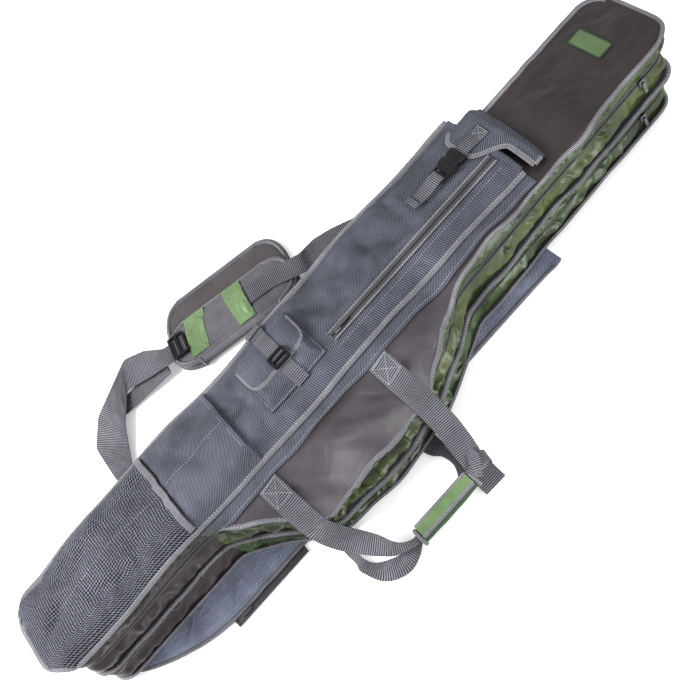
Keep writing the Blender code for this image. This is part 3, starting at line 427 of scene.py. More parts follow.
def sweep(name, centres, across, profile, mat, body, nodes=(), wide=None, mitred=False):
    """A closed cross-section carried along a line; across is the way its width points.

    wide is the share of the width at each station; a mitred tape keeps across just as given.
    """
    centres = np.array([tuple(c) for c in centres], float)
    across = np.array([tuple(a) for a in across], float)
    tangent = np.gradient(centres, axis=0)
    tangent /= np.linalg.norm(tangent, axis=1)[:, None]
    if not mitred:
        across = across - (across * tangent).sum(1)[:, None] * tangent
    across /= np.linalg.norm(across, axis=1)[:, None]
    normal = np.cross(tangent, across)
    normal /= np.linalg.norm(normal, axis=1)[:, None]
    profile = np.array(profile, float)
    share = np.ones(len(centres)) if wide is None else np.array(wide, float)
    ring = (centres[:, None] + profile[None, :, :1] * (across * share[:, None])[:, None]
            + profile[None, :, 1:] * normal[:, None])
    count, sides = ring.shape[:2]
    run = np.concatenate([[0], np.cumsum(np.linalg.norm(np.diff(centres, axis=0), axis=1))])
    girth = np.concatenate([[0], np.cumsum(np.linalg.norm(
        np.diff(np.vstack([profile, profile[:1]]), axis=0), axis=1))])
    verts = ring.reshape(-1, 3).tolist()
    faces = []
    uvs = []
    for i in range(count - 1):
        for j in range(sides):
            k = (j + 1) % sides
            faces.append((i * sides + j, (i + 1) * sides + j, (i + 1) * sides + k, i * sides + k))
            uvs += [(run[i], girth[j]), (run[i + 1], girth[j]),
                    (run[i + 1], girth[j + 1]), (run[i], girth[j + 1])]
    for last in (0, count - 1):
        cap = [last * sides + j for j in range(sides)]
        faces.append(cap if last == 0 else cap[::-1])
        uvs += [(run[last], girth[j]) for j in range(sides)]
    mesh = bpy.data.meshes.new(name)
    mesh.from_pydata(verts, [], faces)
    layer = mesh.uv_layers.new(name="UVMap")
    layer.data.foreach_set("uv", np.array(uvs, np.float32).reshape(-1))
    face_out(mesh)
    mesh.materials.append(mat)
    smooth(mesh, 60)
    return belongs(link(name, mesh), body, nodes)


def flat_profile(width, thick, centre=0.0):
    """Cross-section of a tape: flat faces and round edges."""
    half = width / 2
    t = thick / 2
    return [(centre - half, 0), (centre - half + t * 0.5, -t * 0.8), (centre - half + t * 1.5, -t),
            (centre, -t), (centre + half - t * 1.5, -t), (centre + half - t * 0.5, -t * 0.8),
            (centre + half, 0), (centre + half - t * 0.5, t * 0.8), (centre + half - t * 1.5, t),
            (centre, t), (centre - half + t * 1.5, t), (centre - half + t * 0.5, t * 0.8)]


def rim_frame(height, short, inset=0.0):
    """Stations of a layer's edge in space, and the way out of the layer along its slope."""
    flat = rim(short, inset)
    centres = []
    outward = []
    for k, at in enumerate(flat):
        before = flat[max(k - 1, 0)]
        after = flat[min(k + 1, len(flat) - 1)]
        way = (after - before).normalized()
        out = Vector((way.y, -way.x)) * -1
        slope = (height(at.y + 0.001) - height(at.y - 0.001)) / 0.002
        centres.append(Vector((at.x, at.y, height(at.y))))
        outward.append(Vector((out.x, out.y, slope * out.y)).normalized())
    return centres, outward


def bind(name, line, across, width, thick, body, centre=0.0):
    """Grey tape along a line, its width lying across it."""
    return sweep(name, line, across, flat_profile(width, thick, centre), BINDING, body, ())


def smoothed(points, rounds=4):
    """The same line with its corners eased."""
    line = np.array([tuple(p) for p in points], float)
    for _ in range(rounds):
        line[1:-1] = (line[:-2] + line[1:-1] * 2 + line[2:]) / 4
    return [Vector(p) for p in line]


def sideways(line):
    """The level way across a line at each of its points, to the right of its run."""
    ways = np.gradient(np.array([tuple(p) for p in line]), axis=0)
    return [Vector((w[1], -w[0], 0)).normalized() for w in ways]


def wander(centres, sideways, amount, scale=9.0, seed=0.0):
    """A line pushed about sideways by slow noise, as a sewn edge never runs true."""
    return [c + s * amount * fbm(c.x, c.y, seed, scale) for c, s in zip(centres, sideways)]


BEADS = bpy.data.node_groups.new("beads_on_line", "GeometryNodeTree")
for socket_name, kind in (("Line", "NodeSocketGeometry"), ("Pitch", "NodeSocketFloat"),
                          ("Along", "NodeSocketFloat"), ("Across", "NodeSocketFloat"),
                          ("Height", "NodeSocketFloat"), ("Material", "NodeSocketMaterial")):
    BEADS.interface.new_socket(name=socket_name, in_out="INPUT", socket_type=kind)
BEADS.interface.new_socket(name="Beads", in_out="OUTPUT", socket_type="NodeSocketGeometry")
given = add(BEADS, "NodeGroupInput")
curve = add(BEADS, "GeometryNodeMeshToCurve", None, Mesh=given.outputs["Line"])
spaced = add(BEADS, "GeometryNodeResampleCurve", {"mode": "LENGTH"}, Curve=curve.outputs[0],
             Length=given.outputs["Pitch"])
bead = add(BEADS, "GeometryNodeMeshIcoSphere", None, Radius=1.0, Subdivisions=1)
tangent = add(BEADS, "GeometryNodeInputTangent")
turned = add(BEADS, "FunctionNodeAlignRotationToVector", {"axis": "X"}, Vector=tangent.outputs[0])
size = add(BEADS, "ShaderNodeCombineXYZ", None, X=given.outputs["Along"],
           Y=given.outputs["Across"], Z=given.outputs["Height"])
placed = add(BEADS, "GeometryNodeInstanceOnPoints", None, Points=spaced.outputs[0],
             Instance=bead.outputs[0], Rotation=turned.outputs[0], Scale=size.outputs[0])
solid = add(BEADS, "GeometryNodeRealizeInstances", None, Geometry=placed.outputs[0])
painted = add(BEADS, "GeometryNodeSetMaterial", None, Geometry=solid.outputs[0],
              Material=given.outputs["Material"])
add(BEADS, "NodeGroupOutput", None, Beads=painted.outputs[0])


def beads(name, lines, body, pitch, along, across, height, mat):
    """Small solids spaced along lines: stitches, or the turns of a zip's coil."""
    verts = []
    edges = []
    for line in lines:
        first = len(verts)
        verts += [tuple(p) for p in line]
        edges += [(first + k, first + k + 1) for k in range(len(line) - 1)]
    mesh = bpy.data.meshes.new(name)
    mesh.from_pydata(verts, edges, [])
    obj = link(name, mesh)
    laid = obj.modifiers.new("beads", "NODES")
    laid.node_group = BEADS
    sizes = {"Pitch": pitch, "Along": along / 2, "Across": across / 2, "Height": height / 2,
             "Material": mat}
    for item in BEADS.interface.items_tree:
        if item.item_type == "SOCKET" and item.name in sizes:
            laid[item.identifier] = sizes[item.name]
    settle(obj)
    for face in obj.data.polygons:
        face.use_smooth = True
    return belongs(obj, body, ())


def stitches(name, lines, body, pitch=0.0042, length=0.0026):
    """A seam of pale thread."""
    return beads(name, lines, body, pitch, length, 0.0007, 0.0007, THREAD)


def leaf_points(height, short, ripple=None, rows=44):
    """Grid of a cover, divider or back, with ripple(x, y) added to its height."""
    stations = rim(short)[RIM_RUNS[0]:-RIM_RUNS[-1] - 1]
    last = END_X - short
    grid = []
    for at in stations:
        near = max(0.0, (at.x - (last - CORNER_R)) / CORNER_R)
        spine = SPINE_Y - CORNER_R * (1 - math.sqrt(max(0.0, 1 - near ** 2)))
        column = []
        for k in range(rows + 1):
            y = spine + (at.y - spine) * k / rows
            column.append((at.x, y, height(y) + (ripple(at.x, y) if ripple else 0.0)))
        grid.append(column)
    return grid


sheet("back_leaf", leaf_points(back_z, BACK_SHORT), PANEL, COVER_CLOTH, "rear_case",
      ["back_panel"])


def bound_edge(name, height, short, body, width=0.009, thick=0.0048, swing=0.0010, seed=0.0):
    """Grey tape folded over a leaf's edge, with its stitch line."""
    centres, outward = rim_frame(height, short)
    up = [Vector((0, 0, 1))] * len(centres)
    centres = wander(centres, up, swing, 14.0, seed)
    bind(name, centres, outward, width, thick, body, 0.0010 - width / 2)
    line = [c - o * (width - 0.0035) + Vector((0, 0, thick / 2 + 0.0001))
            for c, o in zip(centres, outward)]
    stitches(name + "_stitches", [line], body)


bound_edge("back_binding", back_z, BACK_SHORT, "rear_case", 0.006, 0.0038, 0.0010, 1.0)

# ---- rear pocket ----
# Blue-grey pouch under the body, sewn round three sides, with two stitch lines and a zip.
# Its colour is painted lighter than the cloth's own, to lift the shade that the bag casts over the
# pouch.
REAR_CLOTH = cloth("blue_grey_pocket_cloth", (0.165, 0.182, 0.240), "rib", 0.0016, 0.45, 0.0004,
                   0.7, 0.08, 0.35, 0.0030)
REAR_X0 = -0.600
REAR_X1 = 0.315


def rear_edge(x):
    """The pouch's zipped edge, rounded towards the butt end."""
    ease = clamp((x - REAR_X0) / 0.20)
    return -0.150 + 0.075 * (1 - ease) ** 2


def rear_grid(height):
    """Grid from the spine side to the zipped side of the pouch."""
    grid = []
    for i in range(141):
        u = i / 140
        x = REAR_X0 + (REAR_X1 - REAR_X0) * u
        column = []
        for k in range(31):
            v = k / 30
            y = 0.030 + (rear_edge(x) - 0.030) * v
            column.append((x, y, height(u, v, x, y)))
        grid.append(column)
    return grid


def pouch_top(u, v, x, y):
    """Height of the pouch's slack upper sheet."""
    rim_share = min(1.0, min(u, 1 - u) * 10, v * 6)
    low = 0.0026
    limp = max(0.0, fbm(x, y, 3.0, 13.0)) * 0.0060 * clamp((-0.08 - y) * 14)
    droop = 0.0050 * max(0.0, (v - 0.72) / 0.28) ** 2
    return low + 0.0079 * rim_share - droop + limp


sheet("rear_pouch_bottom", rear_grid(lambda u, v, x, y: 0.0008), CLOTH, REAR_CLOTH, "rear_case",
      ["rear_pocket_bottom"])
sheet("rear_pouch_top", rear_grid(pouch_top), CLOTH, REAR_CLOTH, "rear_case",
      ["rear_pocket_top"])


def pouch_line(share, x0, x1, lift=0.0011):
    """A line along the pouch's upper sheet at a share of its width."""
    line = []
    for k in range(120):
        x = x0 + (x1 - x0) * k / 119
        y = 0.030 + (rear_edge(x) - 0.030) * share
        u = (x - REAR_X0) / (REAR_X1 - REAR_X0)
        line.append(Vector((x, y, pouch_top(u, share, x, y) + lift)))
    return line


stitches("rear_pouch_stitches", [pouch_line(0.80, -0.545, -0.235), pouch_line(0.93, -0.530, -0.240),
                                 pouch_line(0.93, 0.085, 0.310)], "rear_case", 0.0055, 0.0032)
ZIP_TAPE = cloth("zip_tape_cloth", (0.062, 0.061, 0.066), "web", 0.0012, 0.3, 0.0002)
COIL = cloth("zip_coil", (0.030, 0.029, 0.031), "plain", 0.001, 0.1, 0.0001, 0.35, 0.0)
pouch_rim = pouch_line(1.0, -0.600, 0.315, 0.0)
bind("rear_pouch_binding", [p + Vector((0, 0.001, 0.0005)) for p in pouch_rim],
     [(0, 1, 0)] * len(pouch_rim), 0.007, 0.0036, "rear_case")
zip_run = [Vector((-0.425 + 0.155 * k / 30, -0.1575, 0.0034)) for k in range(31)]
sweep("rear_pouch_zip_tape", zip_run, [(0, 1, 0)] * 31, flat_profile(0.0140, 0.0020), ZIP_TAPE,
      "rear_case", ["rear_pocket_zip"])
beads("rear_pouch_zip_coil", [[p + Vector((0, 0.0028, 0.0010)) for p in zip_run]], "rear_case",
      0.0020, 0.0014, 0.0030, 0.0012, COIL)

# ---- side walls and their zips ----
# Crinkled green satin from the reel bulge to the tip; dark coated cloth beside the rod butts.
# Both satins take a strong mottle of 0.80: bright and dark patches painted into the colour stand in for
# the light and shade on the crinkled cloth, on top of its uneven tone.
GREEN = cloth("green_satin", (0.032, 0.054, 0.018), "plain", 0.0014, 0.12, 0.0001, 0.36, 0.0,
              0.80, 0.0075, None, 0.55)
OLIVE = cloth("olive_satin", (0.042, 0.056, 0.015), "plain", 0.0014, 0.12, 0.0001, 0.36, 0.0,
              0.80, 0.0075, None, 0.55)
WALL_INSET = 0.004
WALL_ROWS = 12
SPLIT = next(k for k, p in enumerate(rim()) if p.x > BULGE_START_X)


def wall_grid(lower, upper, low_share, high_share, belly, crinkle, seed):
    """Wall between two leaves, from one share of its height to another, bellied and creased."""
    low_line = rim(lower[1], WALL_INSET)
    high_line = rim(upper[1], WALL_INSET)
    grid = []
    for i, (low, high) in enumerate(zip(low_line, high_line)):
        before = low_line[max(i - 1, 0)]
        after = low_line[min(i + 1, len(low_line) - 1)]
        way = (after - before).normalized()
        out = Vector((-way.y, way.x)) * -1
        base = lower[0](low.y) + 0.0022
        top = upper[0](high.y) - 0.0022
        column = []
        for k in range(WALL_ROWS + 1):
            share = low_share + (high_share - low_share) * k / WALL_ROWS
            flat = low.lerp(high, share)
            across = k / WALL_ROWS
            swell = math.sin(math.pi * across)
            run = i * 0.0055
            crease = 1 - 2 * abs(fbm(run, base * 0.4 + across * (top - base) * 0.5, seed, 24.0))
            quiet = 1 - 0.8 * math.exp(-((flat.x - 0.565) / 0.045) ** 2)
            quiet *= 1 - 0.8 * math.exp(-((flat.x - 0.185) / 0.035) ** 2)
            push = quiet * (belly * swell ** 1.3 + crinkle * crease * swell ** 1.3)
            spot = flat + out * (push - 0.0010)
            column.append((spot.x, spot.y, base + (top - base) * share))
        grid.append(column)
    return grid


def wall(name, lower, upper, shares, belly, crinkle, body, node, seed, satin=GREEN):
    """One half of a side wall: its butt part in dark cloth and the rest in green."""
    grid = wall_grid(lower, upper, *shares, belly, crinkle, seed)
    sheet(name + "_dark", grid[:SPLIT + 1], 0.0012, COVER_CLOTH, body, [node])
    sheet(name + "_green", grid[SPLIT:], 0.0012, satin, body, [node])


def side_zip(name, lower, upper, bodies, nodes, seed):
    """Two tapes meeting at mid-height, and the coil along the line where they meet."""
    for half, shares in ((0, (0.41, 0.497)), (1, (0.503, 0.59))):
        grid = wall_grid(lower, upper, *shares, 0.0, 0.0, seed)
        sheet(f"{name}_tape_{half}", grid, 0.0012, ZIP_TAPE, bodies[half], [nodes[half]])
    middle = wall_grid(lower, upper, 0.488, 0.512, 0.0, 0.0, seed)
    for half, row in ((0, 2), (1, 10)):
        line = []
        for i, column in enumerate(middle):
            before = Vector(middle[max(i - 1, 0)][0])
            after = Vector(middle[min(i + 1, len(middle) - 1)][0])
            way = (after - before).normalized()
            line.append(Vector(column[row]) + Vector((way.y, -way.x, 0)) * 0.0012)
        beads(f"{name}_coil_{half}", [line], bodies[half], 0.0021, 0.0015, 0.0016, 0.0024, COIL)


BACK = (back_z, BACK_SHORT)
DIVIDER = (divider_z, DIVIDER_SHORT)
COVER = (cover_z, 0.0)
wall("rear_wall_low", BACK, DIVIDER, (0.0, 0.42), 0.0040, 0.0055, "rear_case",
     "rear_wall_lower", 1.0)
wall("rear_wall_high", BACK, DIVIDER, (0.58, 1.0), 0.0040, 0.0060, "middle_leaf",
     "rear_wall_upper", 2.0)
wall("front_wall_low", DIVIDER, COVER, (0.0, 0.42), 0.0045, 0.0065, "middle_leaf",
     "front_wall_lower", 3.0, OLIVE)
wall("front_wall_high", DIVIDER, COVER, (0.58, 1.0), 0.0045, 0.0070, "front_leaf",
     "front_wall_upper", 4.0)
side_zip("rear_zip", BACK, DIVIDER, ("rear_case", "middle_leaf"),
         ("rear_zip_lower", "rear_zip_upper"), 5.0)
side_zip("front_zip", DIVIDER, COVER, ("middle_leaf", "front_leaf"),
         ("front_zip_lower", "front_zip_upper"), 6.0)

# ---- divider, with its grey edge, and the two spine walls ----
LINING = cloth("lining_cloth", (0.030, 0.031, 0.035), "plain", 0.0012, 0.15, 0.0002)
sheet("divider_leaf", leaf_points(divider_z, DIVIDER_SHORT), PANEL, LINING,
      "middle_leaf", ["divider_panel"])
bound_edge("divider_binding", divider_z, DIVIDER_SHORT, "middle_leaf", 0.0080, 0.0040, 0.0042,
           2.0)


def spine_grid(low, high, end, belly):
    """Wall along the spine, its top row inside the leaf that it hinges."""
    grid = []
    for i in range(101):
        x = BODY_START_X + 0.008 + (end - 0.043 - BODY_START_X - 0.008) * i / 100
        grid.append([(x, 0.0435 + belly * math.sin(math.pi * k / 8) + 0.0004 * fbm(x, k, 2.0, 9.0),
                      low + (high - low) * k / 8) for k in range(9)])
    return grid


rear_spine = sheet("rear_spine_cloth", spine_grid(0.0160, 0.0648, 0.616, 0.0012), CLOTH,
                   COVER_CLOTH, None, ["rear_spine_wall"])
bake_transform(rear_spine)
front_spine = sheet("front_spine_cloth", spine_grid(0.0660, 0.1398, 0.636, -0.0014), CLOTH,
                    COVER_CLOTH, None, ["front_spine_wall"])
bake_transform(front_spine)

# ---- front cover ----
# The same dark cloth, slack where the front pocket doesn't cover it, bound in grey.
COVER_EDGE = ((BULGE_START_X, -0.085), (-0.205, BULGE_Y), (0.020, BULGE_Y), (0.160, -0.127),
              (END_X, -0.112))


def off_line(x, y, start, stop):
    """How far along a straight line a point lies, from 0 to 1, and its distance from the line."""
    dx = stop[0] - start[0]
    dy = stop[1] - start[1]
    t = clamp(((x - start[0]) * dx + (y - start[1]) * dy) / (dx * dx + dy * dy))
    return t, math.hypot(x - start[0] - dx * t, y - start[1] - dy * t)


def edge_gap(x, y):
    """Distance to the cover's zipped edge."""
    return min(off_line(x, y, start, stop)[1] for start, stop in zip(COVER_EDGE, COVER_EDGE[1:]))


def cover_ripple(x, y):
    """Soft dents on the tip end and long pulls across the reel panel, both dying away towards the outer
    edge.
    """
    tip = clamp((x - 0.40) / 0.08)
    edge = clamp(min((0.645 - x) / 0.03, (y + 0.112) / 0.03, (0.045 - y) / 0.03))
    badge = min(1.0, math.hypot(max(0.555 - x, 0, x - 0.595), max(-0.063 - y, 0, y - 0.015)) / 0.02)
    dents = 0.0130 * fbm(x * 1.3 + y, y * 1.4, 7.0, 9.0) * tip * edge * badge
    reel = clamp((-0.125 - y) / 0.02) * clamp((x + 0.30) / 0.08)
    reel *= clamp((0.14 - x) / 0.08)
    pulls = 0.0200 * fbm(x * 1.1 + y * 1.1, y * 0.6, 9.0, 9.0) * reel
    pulls -= 0.0050 * math.exp(-((x + 0.265) / 0.018) ** 2) * clamp((-0.120 - y) / 0.03)
    inner = min(1.0, edge_gap(x, y) / 0.035)
    return dents + pulls * eased(inner)


sheet("cover_leaf", leaf_points(cover_z, 0.0, cover_ripple, 60), 0.0026, COVER_CLOTH, "front_leaf",
      ["front_cover"])
bound_edge("cover_binding", cover_z, 0.0, "front_leaf", 0.0080, 0.0040, 0.0022, 3.0)
spine_binding = [Vector((0.350 + 0.262 * k / 60, 0.0425 + 0.0012 * fbm(k * 0.02, 0, 1.0, 8.0),
                         COVER_Z + 0.0012)) for k in range(61)]
for k in range(1, 13):
    turn = math.pi / 2 * k / 12
    spine_binding.append(Vector((0.612 + 0.0355 * math.sin(turn),
                                 0.0425 - 0.0355 * (1 - math.cos(turn)), COVER_Z + 0.0012)))
bind("cover_spine_binding", spine_binding, [-way for way in sideways(spine_binding)], 0.009,
     0.0034, "front_leaf")
stitches("cover_spine_stitches",
         [[p + Vector((0, -0.003, 0.0027)) for p in spine_binding[:60]]], "front_leaf")

# ---- reinforcing strip beside the front pocket ----
# Ribbed grey cloth laid along the cover between the pocket's edge and the handles' webbing.
POCKET_CLOTH = cloth("grey_ribbed_cloth", (0.070, 0.074, 0.094), "rib", 0.0017, 0.75, 0.0005,
                     0.7, 0.08, 0.38)


def strip_point(x, y, lift=0.0026):
    """A point of the strip, laid on the cover."""
    wave = 0.0009 * fbm(x, y, 4.0, 10.0)
    return Vector((x, y, above_cover(y, lift) + wave))


strip_grid = []
for i in range(121):
    x = -0.345 + 0.702 * i / 120
    outer = -0.119 + 0.016 * max(0.0, (-0.30 - x) / 0.045) + 0.0012 * fbm(x, 0, 2.0, 6.0)
    strip_grid.append([strip_point(x, -0.093 + (outer + 0.093) * k / 8) for k in range(9)])
sheet("edge_strip_cloth", strip_grid, 0.0013, POCKET_CLOTH, "front_leaf", ["edge_strip"])
stitches("edge_strip_stitches", [[strip_point(-0.330 + 0.680 * k / 150, -0.1145, 0.0036)
                                  for k in range(151)]], "front_leaf")

# ---- front pocket ----
# A flat tube of the ribbed cloth over the cover, sewn down both long edges and the butt end.
START_X = -0.650
MOUTH_X = 0.357
TOP_Y = 0.080
EDGE_Y = -0.092


def pocket_start(y):
    """The pocket's butt end, its two corners cut off."""
    spine_cut = max(0.0, y - (TOP_Y - 0.040)) / 0.040
    zip_cut = max(0.0, (EDGE_Y + 0.040) - y) / 0.040
    return START_X + 0.022 * spine_cut + 0.040 * zip_cut


# Boxes of the pocket's front where the small pocket, the long zip and the flap's web hold it.
SEWN_DOWN = ((-0.147, -0.027, -0.056, 0.060), (-0.010, 0.350, -0.058, -0.032),
             (0.215, 0.400, -0.030, 0.050))
# Creases: from, to, depth and half-width.
PULLS = (((-0.010, -0.045), (-0.060, -0.005), 0.0050, 0.007),
         ((-0.025, 0.050), (0.060, -0.020), 0.0045, 0.011),
         ((-0.195, 0.060), (-0.160, 0.010), 0.0045, 0.008),
         ((-0.200, -0.010), (-0.150, 0.005), 0.0040, 0.007),
         ((0.185, 0.075), (0.225, 0.020), 0.0050, 0.008),
         ((0.130, 0.020), (0.190, -0.020), 0.0040, 0.012),
         ((0.030, 0.070), (0.100, 0.010), 0.0045, 0.014),
         ((-0.325, 0.060), (-0.240, -0.060), 0.0035, 0.016),
         ((-0.600, 0.050), (-0.440, 0.020), 0.0050, 0.018),
         ((-0.520, -0.040), (-0.400, -0.085), 0.0050, 0.012),
         ((0.170, -0.085), (0.150, -0.060), 0.0040, 0.006),
         ((-0.630, -0.030), (-0.560, 0.010), 0.0050, 0.012))


def free_cloth(x, y):
    """0 where something is sewn on the pocket's front, 1 a little way from it."""
    share = 1.0
    for x0, x1, y0, y1 in SEWN_DOWN:
        share = min(share, math.hypot(max(x0 - x, 0, x - x1), max(y0 - y, 0, y - y1)) / 0.022)
    return eased(share) if share < 1 else 1.0


def pulled(x, y):
    """Depth of the creases that run between the pocket's seams."""
    depth = 0.0
    for start, stop, deep, wide in PULLS:
        t, gap = off_line(x, y, start, stop)
        depth += deep * math.exp(-(gap / wide) ** 2) * math.sin(math.pi * min(0.95, max(0.15, t)))
    return depth


def pocket_z(x, y, over=0.0):
    """Middle of the front sheet: raised inside its seams, with slow waves and a few pulls."""
    along = (x - START_X) / (MOUTH_X - START_X)
    v = (TOP_Y - y) / (TOP_Y - EDGE_Y)
    rim_share = min(1.0, max(0.0, along * 16), max(0.0, min(v, 1 - v) * 8))
    rim_share = math.sin(rim_share * math.pi / 2)
    waves = min(0.0, 0.0150 * fbm(x * 0.9 + y * 0.5, y - x * 0.3, 1.0, 10.0) - 0.0010)
    waves -= 1.5 * pulled(x, y)
    seam = 0.14345 + 0.0055 * clamp((y - 0.055) / 0.02)
    return (seam + (0.15575 - seam) * rim_share
            + max(waves, -0.0110) * rim_share * free_cloth(x, y) + over)


def pocket_grid(x0, x1, height, columns, rows=40):
    """Grid from x0 to x1 between the pocket's long edges."""
    grid = []
    for i in range(columns + 1):
        column = []
        for k in range(rows + 1):
            y = TOP_Y + (EDGE_Y - TOP_Y) * k / rows
            first = max(x0, pocket_start(y))
            x = first + (x1 - first) * i / columns
            column.append((x, y, height(x, y)))
        grid.append(column)
    return grid


sheet("front_pocket_under", pocket_grid(START_X, MOUTH_X, lambda x, y: 0.14155, 60, 20), 0.0012,
      POCKET_CLOTH, "front_leaf", ["front_pocket_back"])
sheet("front_pocket_cloth", pocket_grid(START_X, MOUTH_X, pocket_z, 300, 60), CLOTH,
      POCKET_CLOTH, "front_leaf", ["front_pocket_front"])
pocket_rim = []
for k in range(161):
    pocket_rim.append(Vector((MOUTH_X - (MOUTH_X + 0.628) * k / 160, TOP_Y - 0.001, 0.1492)))
for k in range(1, 9):
    pocket_rim.append(Vector((-0.628 - 0.022 * k / 8, TOP_Y - 0.001 - 0.040 * k / 8,
                              0.1492 - 0.0052 * k / 8)))
for k in range(1, 17):
    pocket_rim.append(Vector((-0.650, 0.039 - 0.091 * k / 16, 0.1440)))
for k in range(1, 9):
    pocket_rim.append(Vector((-0.650 + 0.040 * k / 8, -0.052 - 0.040 * k / 8, 0.1440)))
for k in range(1, 161):
    pocket_rim.append(Vector((-0.610 + (MOUTH_X + 0.610) * k / 160, EDGE_Y, 0.1440)))
pocket_rim = [p + Vector((0, 0.0010, 0.0012)) * fbm(p.x, p.y, 6.0, 9.0)
              for p in smoothed(pocket_rim, 6)]
bind("front_pocket_binding", pocket_rim, [-way for way in sideways(pocket_rim)], 0.0115, 0.0066,
     "front_leaf")
stitches("front_pocket_binding_stitches",
         [[p + Vector((0, 0, 0.0034)) for p in pocket_rim]], "front_leaf", 0.0050, 0.0030)
mouth_hem = [Vector((MOUTH_X - 0.001, y, pocket_z(MOUTH_X, y, 0.0004)))
             for y in np.linspace(TOP_Y - 0.004, EDGE_Y + 0.004, 61)]
sweep("front_pocket_mouth_hem", mouth_hem, [(1, 0, 0)] * 61, flat_profile(0.010, 0.0032),
      POCKET_CLOTH, "front_leaf", ())

# ---- mesh pocket over the butt end ----
# Coarse dotted mesh, bound across its mouth with a wide grey tape.
MESH_CLOTH = cloth("coarse_mesh", (0.074, 0.076, 0.094), "mesh", 0.0046, 0.90, 0.0016, 0.75, 0.05,
                   0.2)


def sleeve_z(x0, x1, rise):
    """Height of a pocket that is sewn flat on the front pocket."""
    def height(x, y):
        v = (TOP_Y - y) / (TOP_Y - EDGE_Y)
        u = (x - x0) / (x1 - x0)
        lift = rise * math.sin(math.pi / 2 * min(1.0, max(0.0, u * 6), max(0.0, min(v, 1 - v) * 8)))
        return pocket_z(x, y, 0.0019) + lift
    return height


MESH_MOUTH_X = -0.345
SLIP_MOUTH_X = -0.205
mesh_z = sleeve_z(START_X, MESH_MOUTH_X, 0.0060)
sheet("mesh_pocket_cloth", pocket_grid(START_X + 0.003, MESH_MOUTH_X, mesh_z, 84, 44), 0.0012,
      MESH_CLOTH, "front_leaf", ["mesh_pocket"])


def mouth_tape(name, x, height, width, thick, mat):
    """Tape folded over a pocket's mouth, from one long edge to the other."""
    points = []
    for k in range(61):
        y = TOP_Y - 0.003 + (EDGE_Y + 0.006 - TOP_Y) * k / 60
        points.append(Vector((x + 0.0012 * fbm(0, k * 0.01, x * 9, 9.0), y, height(x, y) + 0.0006)))
    sweep(name, points, [(1, 0, 0)] * 61, flat_profile(width, thick), mat, "front_leaf", ())
    stitches(name + "_stitches", [[p + Vector((0.0025, 0, thick / 2)) for p in points]],
             "front_leaf")


mouth_tape("mesh_pocket_tape", MESH_MOUTH_X - 0.003, mesh_z, 0.0115, 0.0034, BINDING)
stitches("mesh_pocket_centre_stitches",
         [[Vector((x, -0.002, mesh_z(x, -0.002) + 0.0008)) for x in np.linspace(-0.60, -0.355, 60)]],
         "front_leaf", 0.0060, 0.0026)

# ---- slip pocket beside it ----
# Plain ribbed cloth, open towards the tip end, with a seam down its middle.
slip_z = sleeve_z(MESH_MOUTH_X, SLIP_MOUTH_X, 0.0058)
slip_columns = pocket_grid(MESH_MOUTH_X + 0.003, SLIP_MOUTH_X, slip_z, 40, 44)
sheet("slip_pocket_cloth", slip_columns, CLOTH, POCKET_CLOTH, "front_leaf", ["slip_pocket"])
stitches("slip_pocket_stitches",
         [[Vector((SLIP_MOUTH_X - 0.006, y, slip_z(SLIP_MOUTH_X, y) + 0.0009))
           for y in np.linspace(0.070, -0.082, 50)],
          [Vector((x, 0.000, slip_z(x, 0.0) + 0.0009)) for x in np.linspace(-0.335, -0.215, 40)]],
         "front_leaf", 0.0050, 0.0030)

# ---- small buckled pocket ----
# A box pocket of the same cloth; its bound flap is held by webbing through a ladder buckle.
SMALL_X = -0.087
BLACK_PLASTIC = cloth("black_acetal", (0.016, 0.016, 0.018), "plain", 0.0008, 0.1, 0.00005, 0.30,
                      0.0, 0.1)


def small_front(x, y):
    """Front of the box pocket: a sewn-down hem, steep sides and a limp top."""
    side = 0.060 - abs(x - SMALL_X)
    foot = y + 0.056
    rise = math.sin(math.pi / 2 * clamp(min((side - 0.005) / 0.010, (foot - 0.006) / 0.012)))
    return 0.1583 + (0.0118 + 0.0008 * fbm(x, y, 2.0, 30.0)) * rise


small_grid = []
for i in range(49):
    x = SMALL_X - 0.060 + 0.120 * i / 48
    small_grid.append([(x, y, small_front(x, y)) for y in np.linspace(0.040, -0.056, 41)])
sheet("small_pocket_cloth", small_grid, 0.0013, POCKET_CLOTH, "front_leaf",
      ["small_pocket_front"])
HEM_Z = 0.1592
hem = [Vector((SMALL_X - 0.0575, y, HEM_Z)) for y in np.linspace(0.036, -0.053, 26)]
hem += [Vector((x, -0.0535, HEM_Z)) for x in np.linspace(SMALL_X - 0.054, SMALL_X + 0.054, 30)]
hem += [Vector((SMALL_X + 0.0575, y, HEM_Z)) for y in np.linspace(-0.053, 0.036, 26)]
stitches("small_pocket_hem_stitches", [hem], "front_leaf", 0.0045, 0.0028)


def flap_end(x, low, corner, half):
    """Lower edge of a flap with round corners, at x from its middle line."""
    past = max(0.0, abs(x) - (half - corner)) / corner
    return low + corner * (1 - math.sqrt(max(0.0, 1 - min(1.0, past) ** 2)))


def small_flap_z(x, y):
    """Height of the flap: bent down at its root, with limp corners."""
    droop = 0.0045 * (max(0.0, abs(x) - 0.035) / 0.022) ** 2 + 0.0035 * max(0.0, (-0.004 - y) / 0.02)
    root = clamp((y - 0.044) / 0.012)
    return 0.1730 - droop * (1 - root) - 0.0148 * eased(root)


FLAP_HALF = 0.058
FLAP_END = (-0.021, 0.026, FLAP_HALF)
flap_grid = []
for i in range(41):
    x = -FLAP_HALF + 2 * FLAP_HALF * i / 40
    flap_grid.append([(SMALL_X + x, y, small_flap_z(x, y))
                      for y in np.linspace(0.057, flap_end(x, *FLAP_END), 37)])
small_flap = sheet("small_pocket_flap_cloth", flap_grid, CLOTH, POCKET_CLOTH, None,
                   ["small_pocket_flap"])
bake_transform(small_flap)


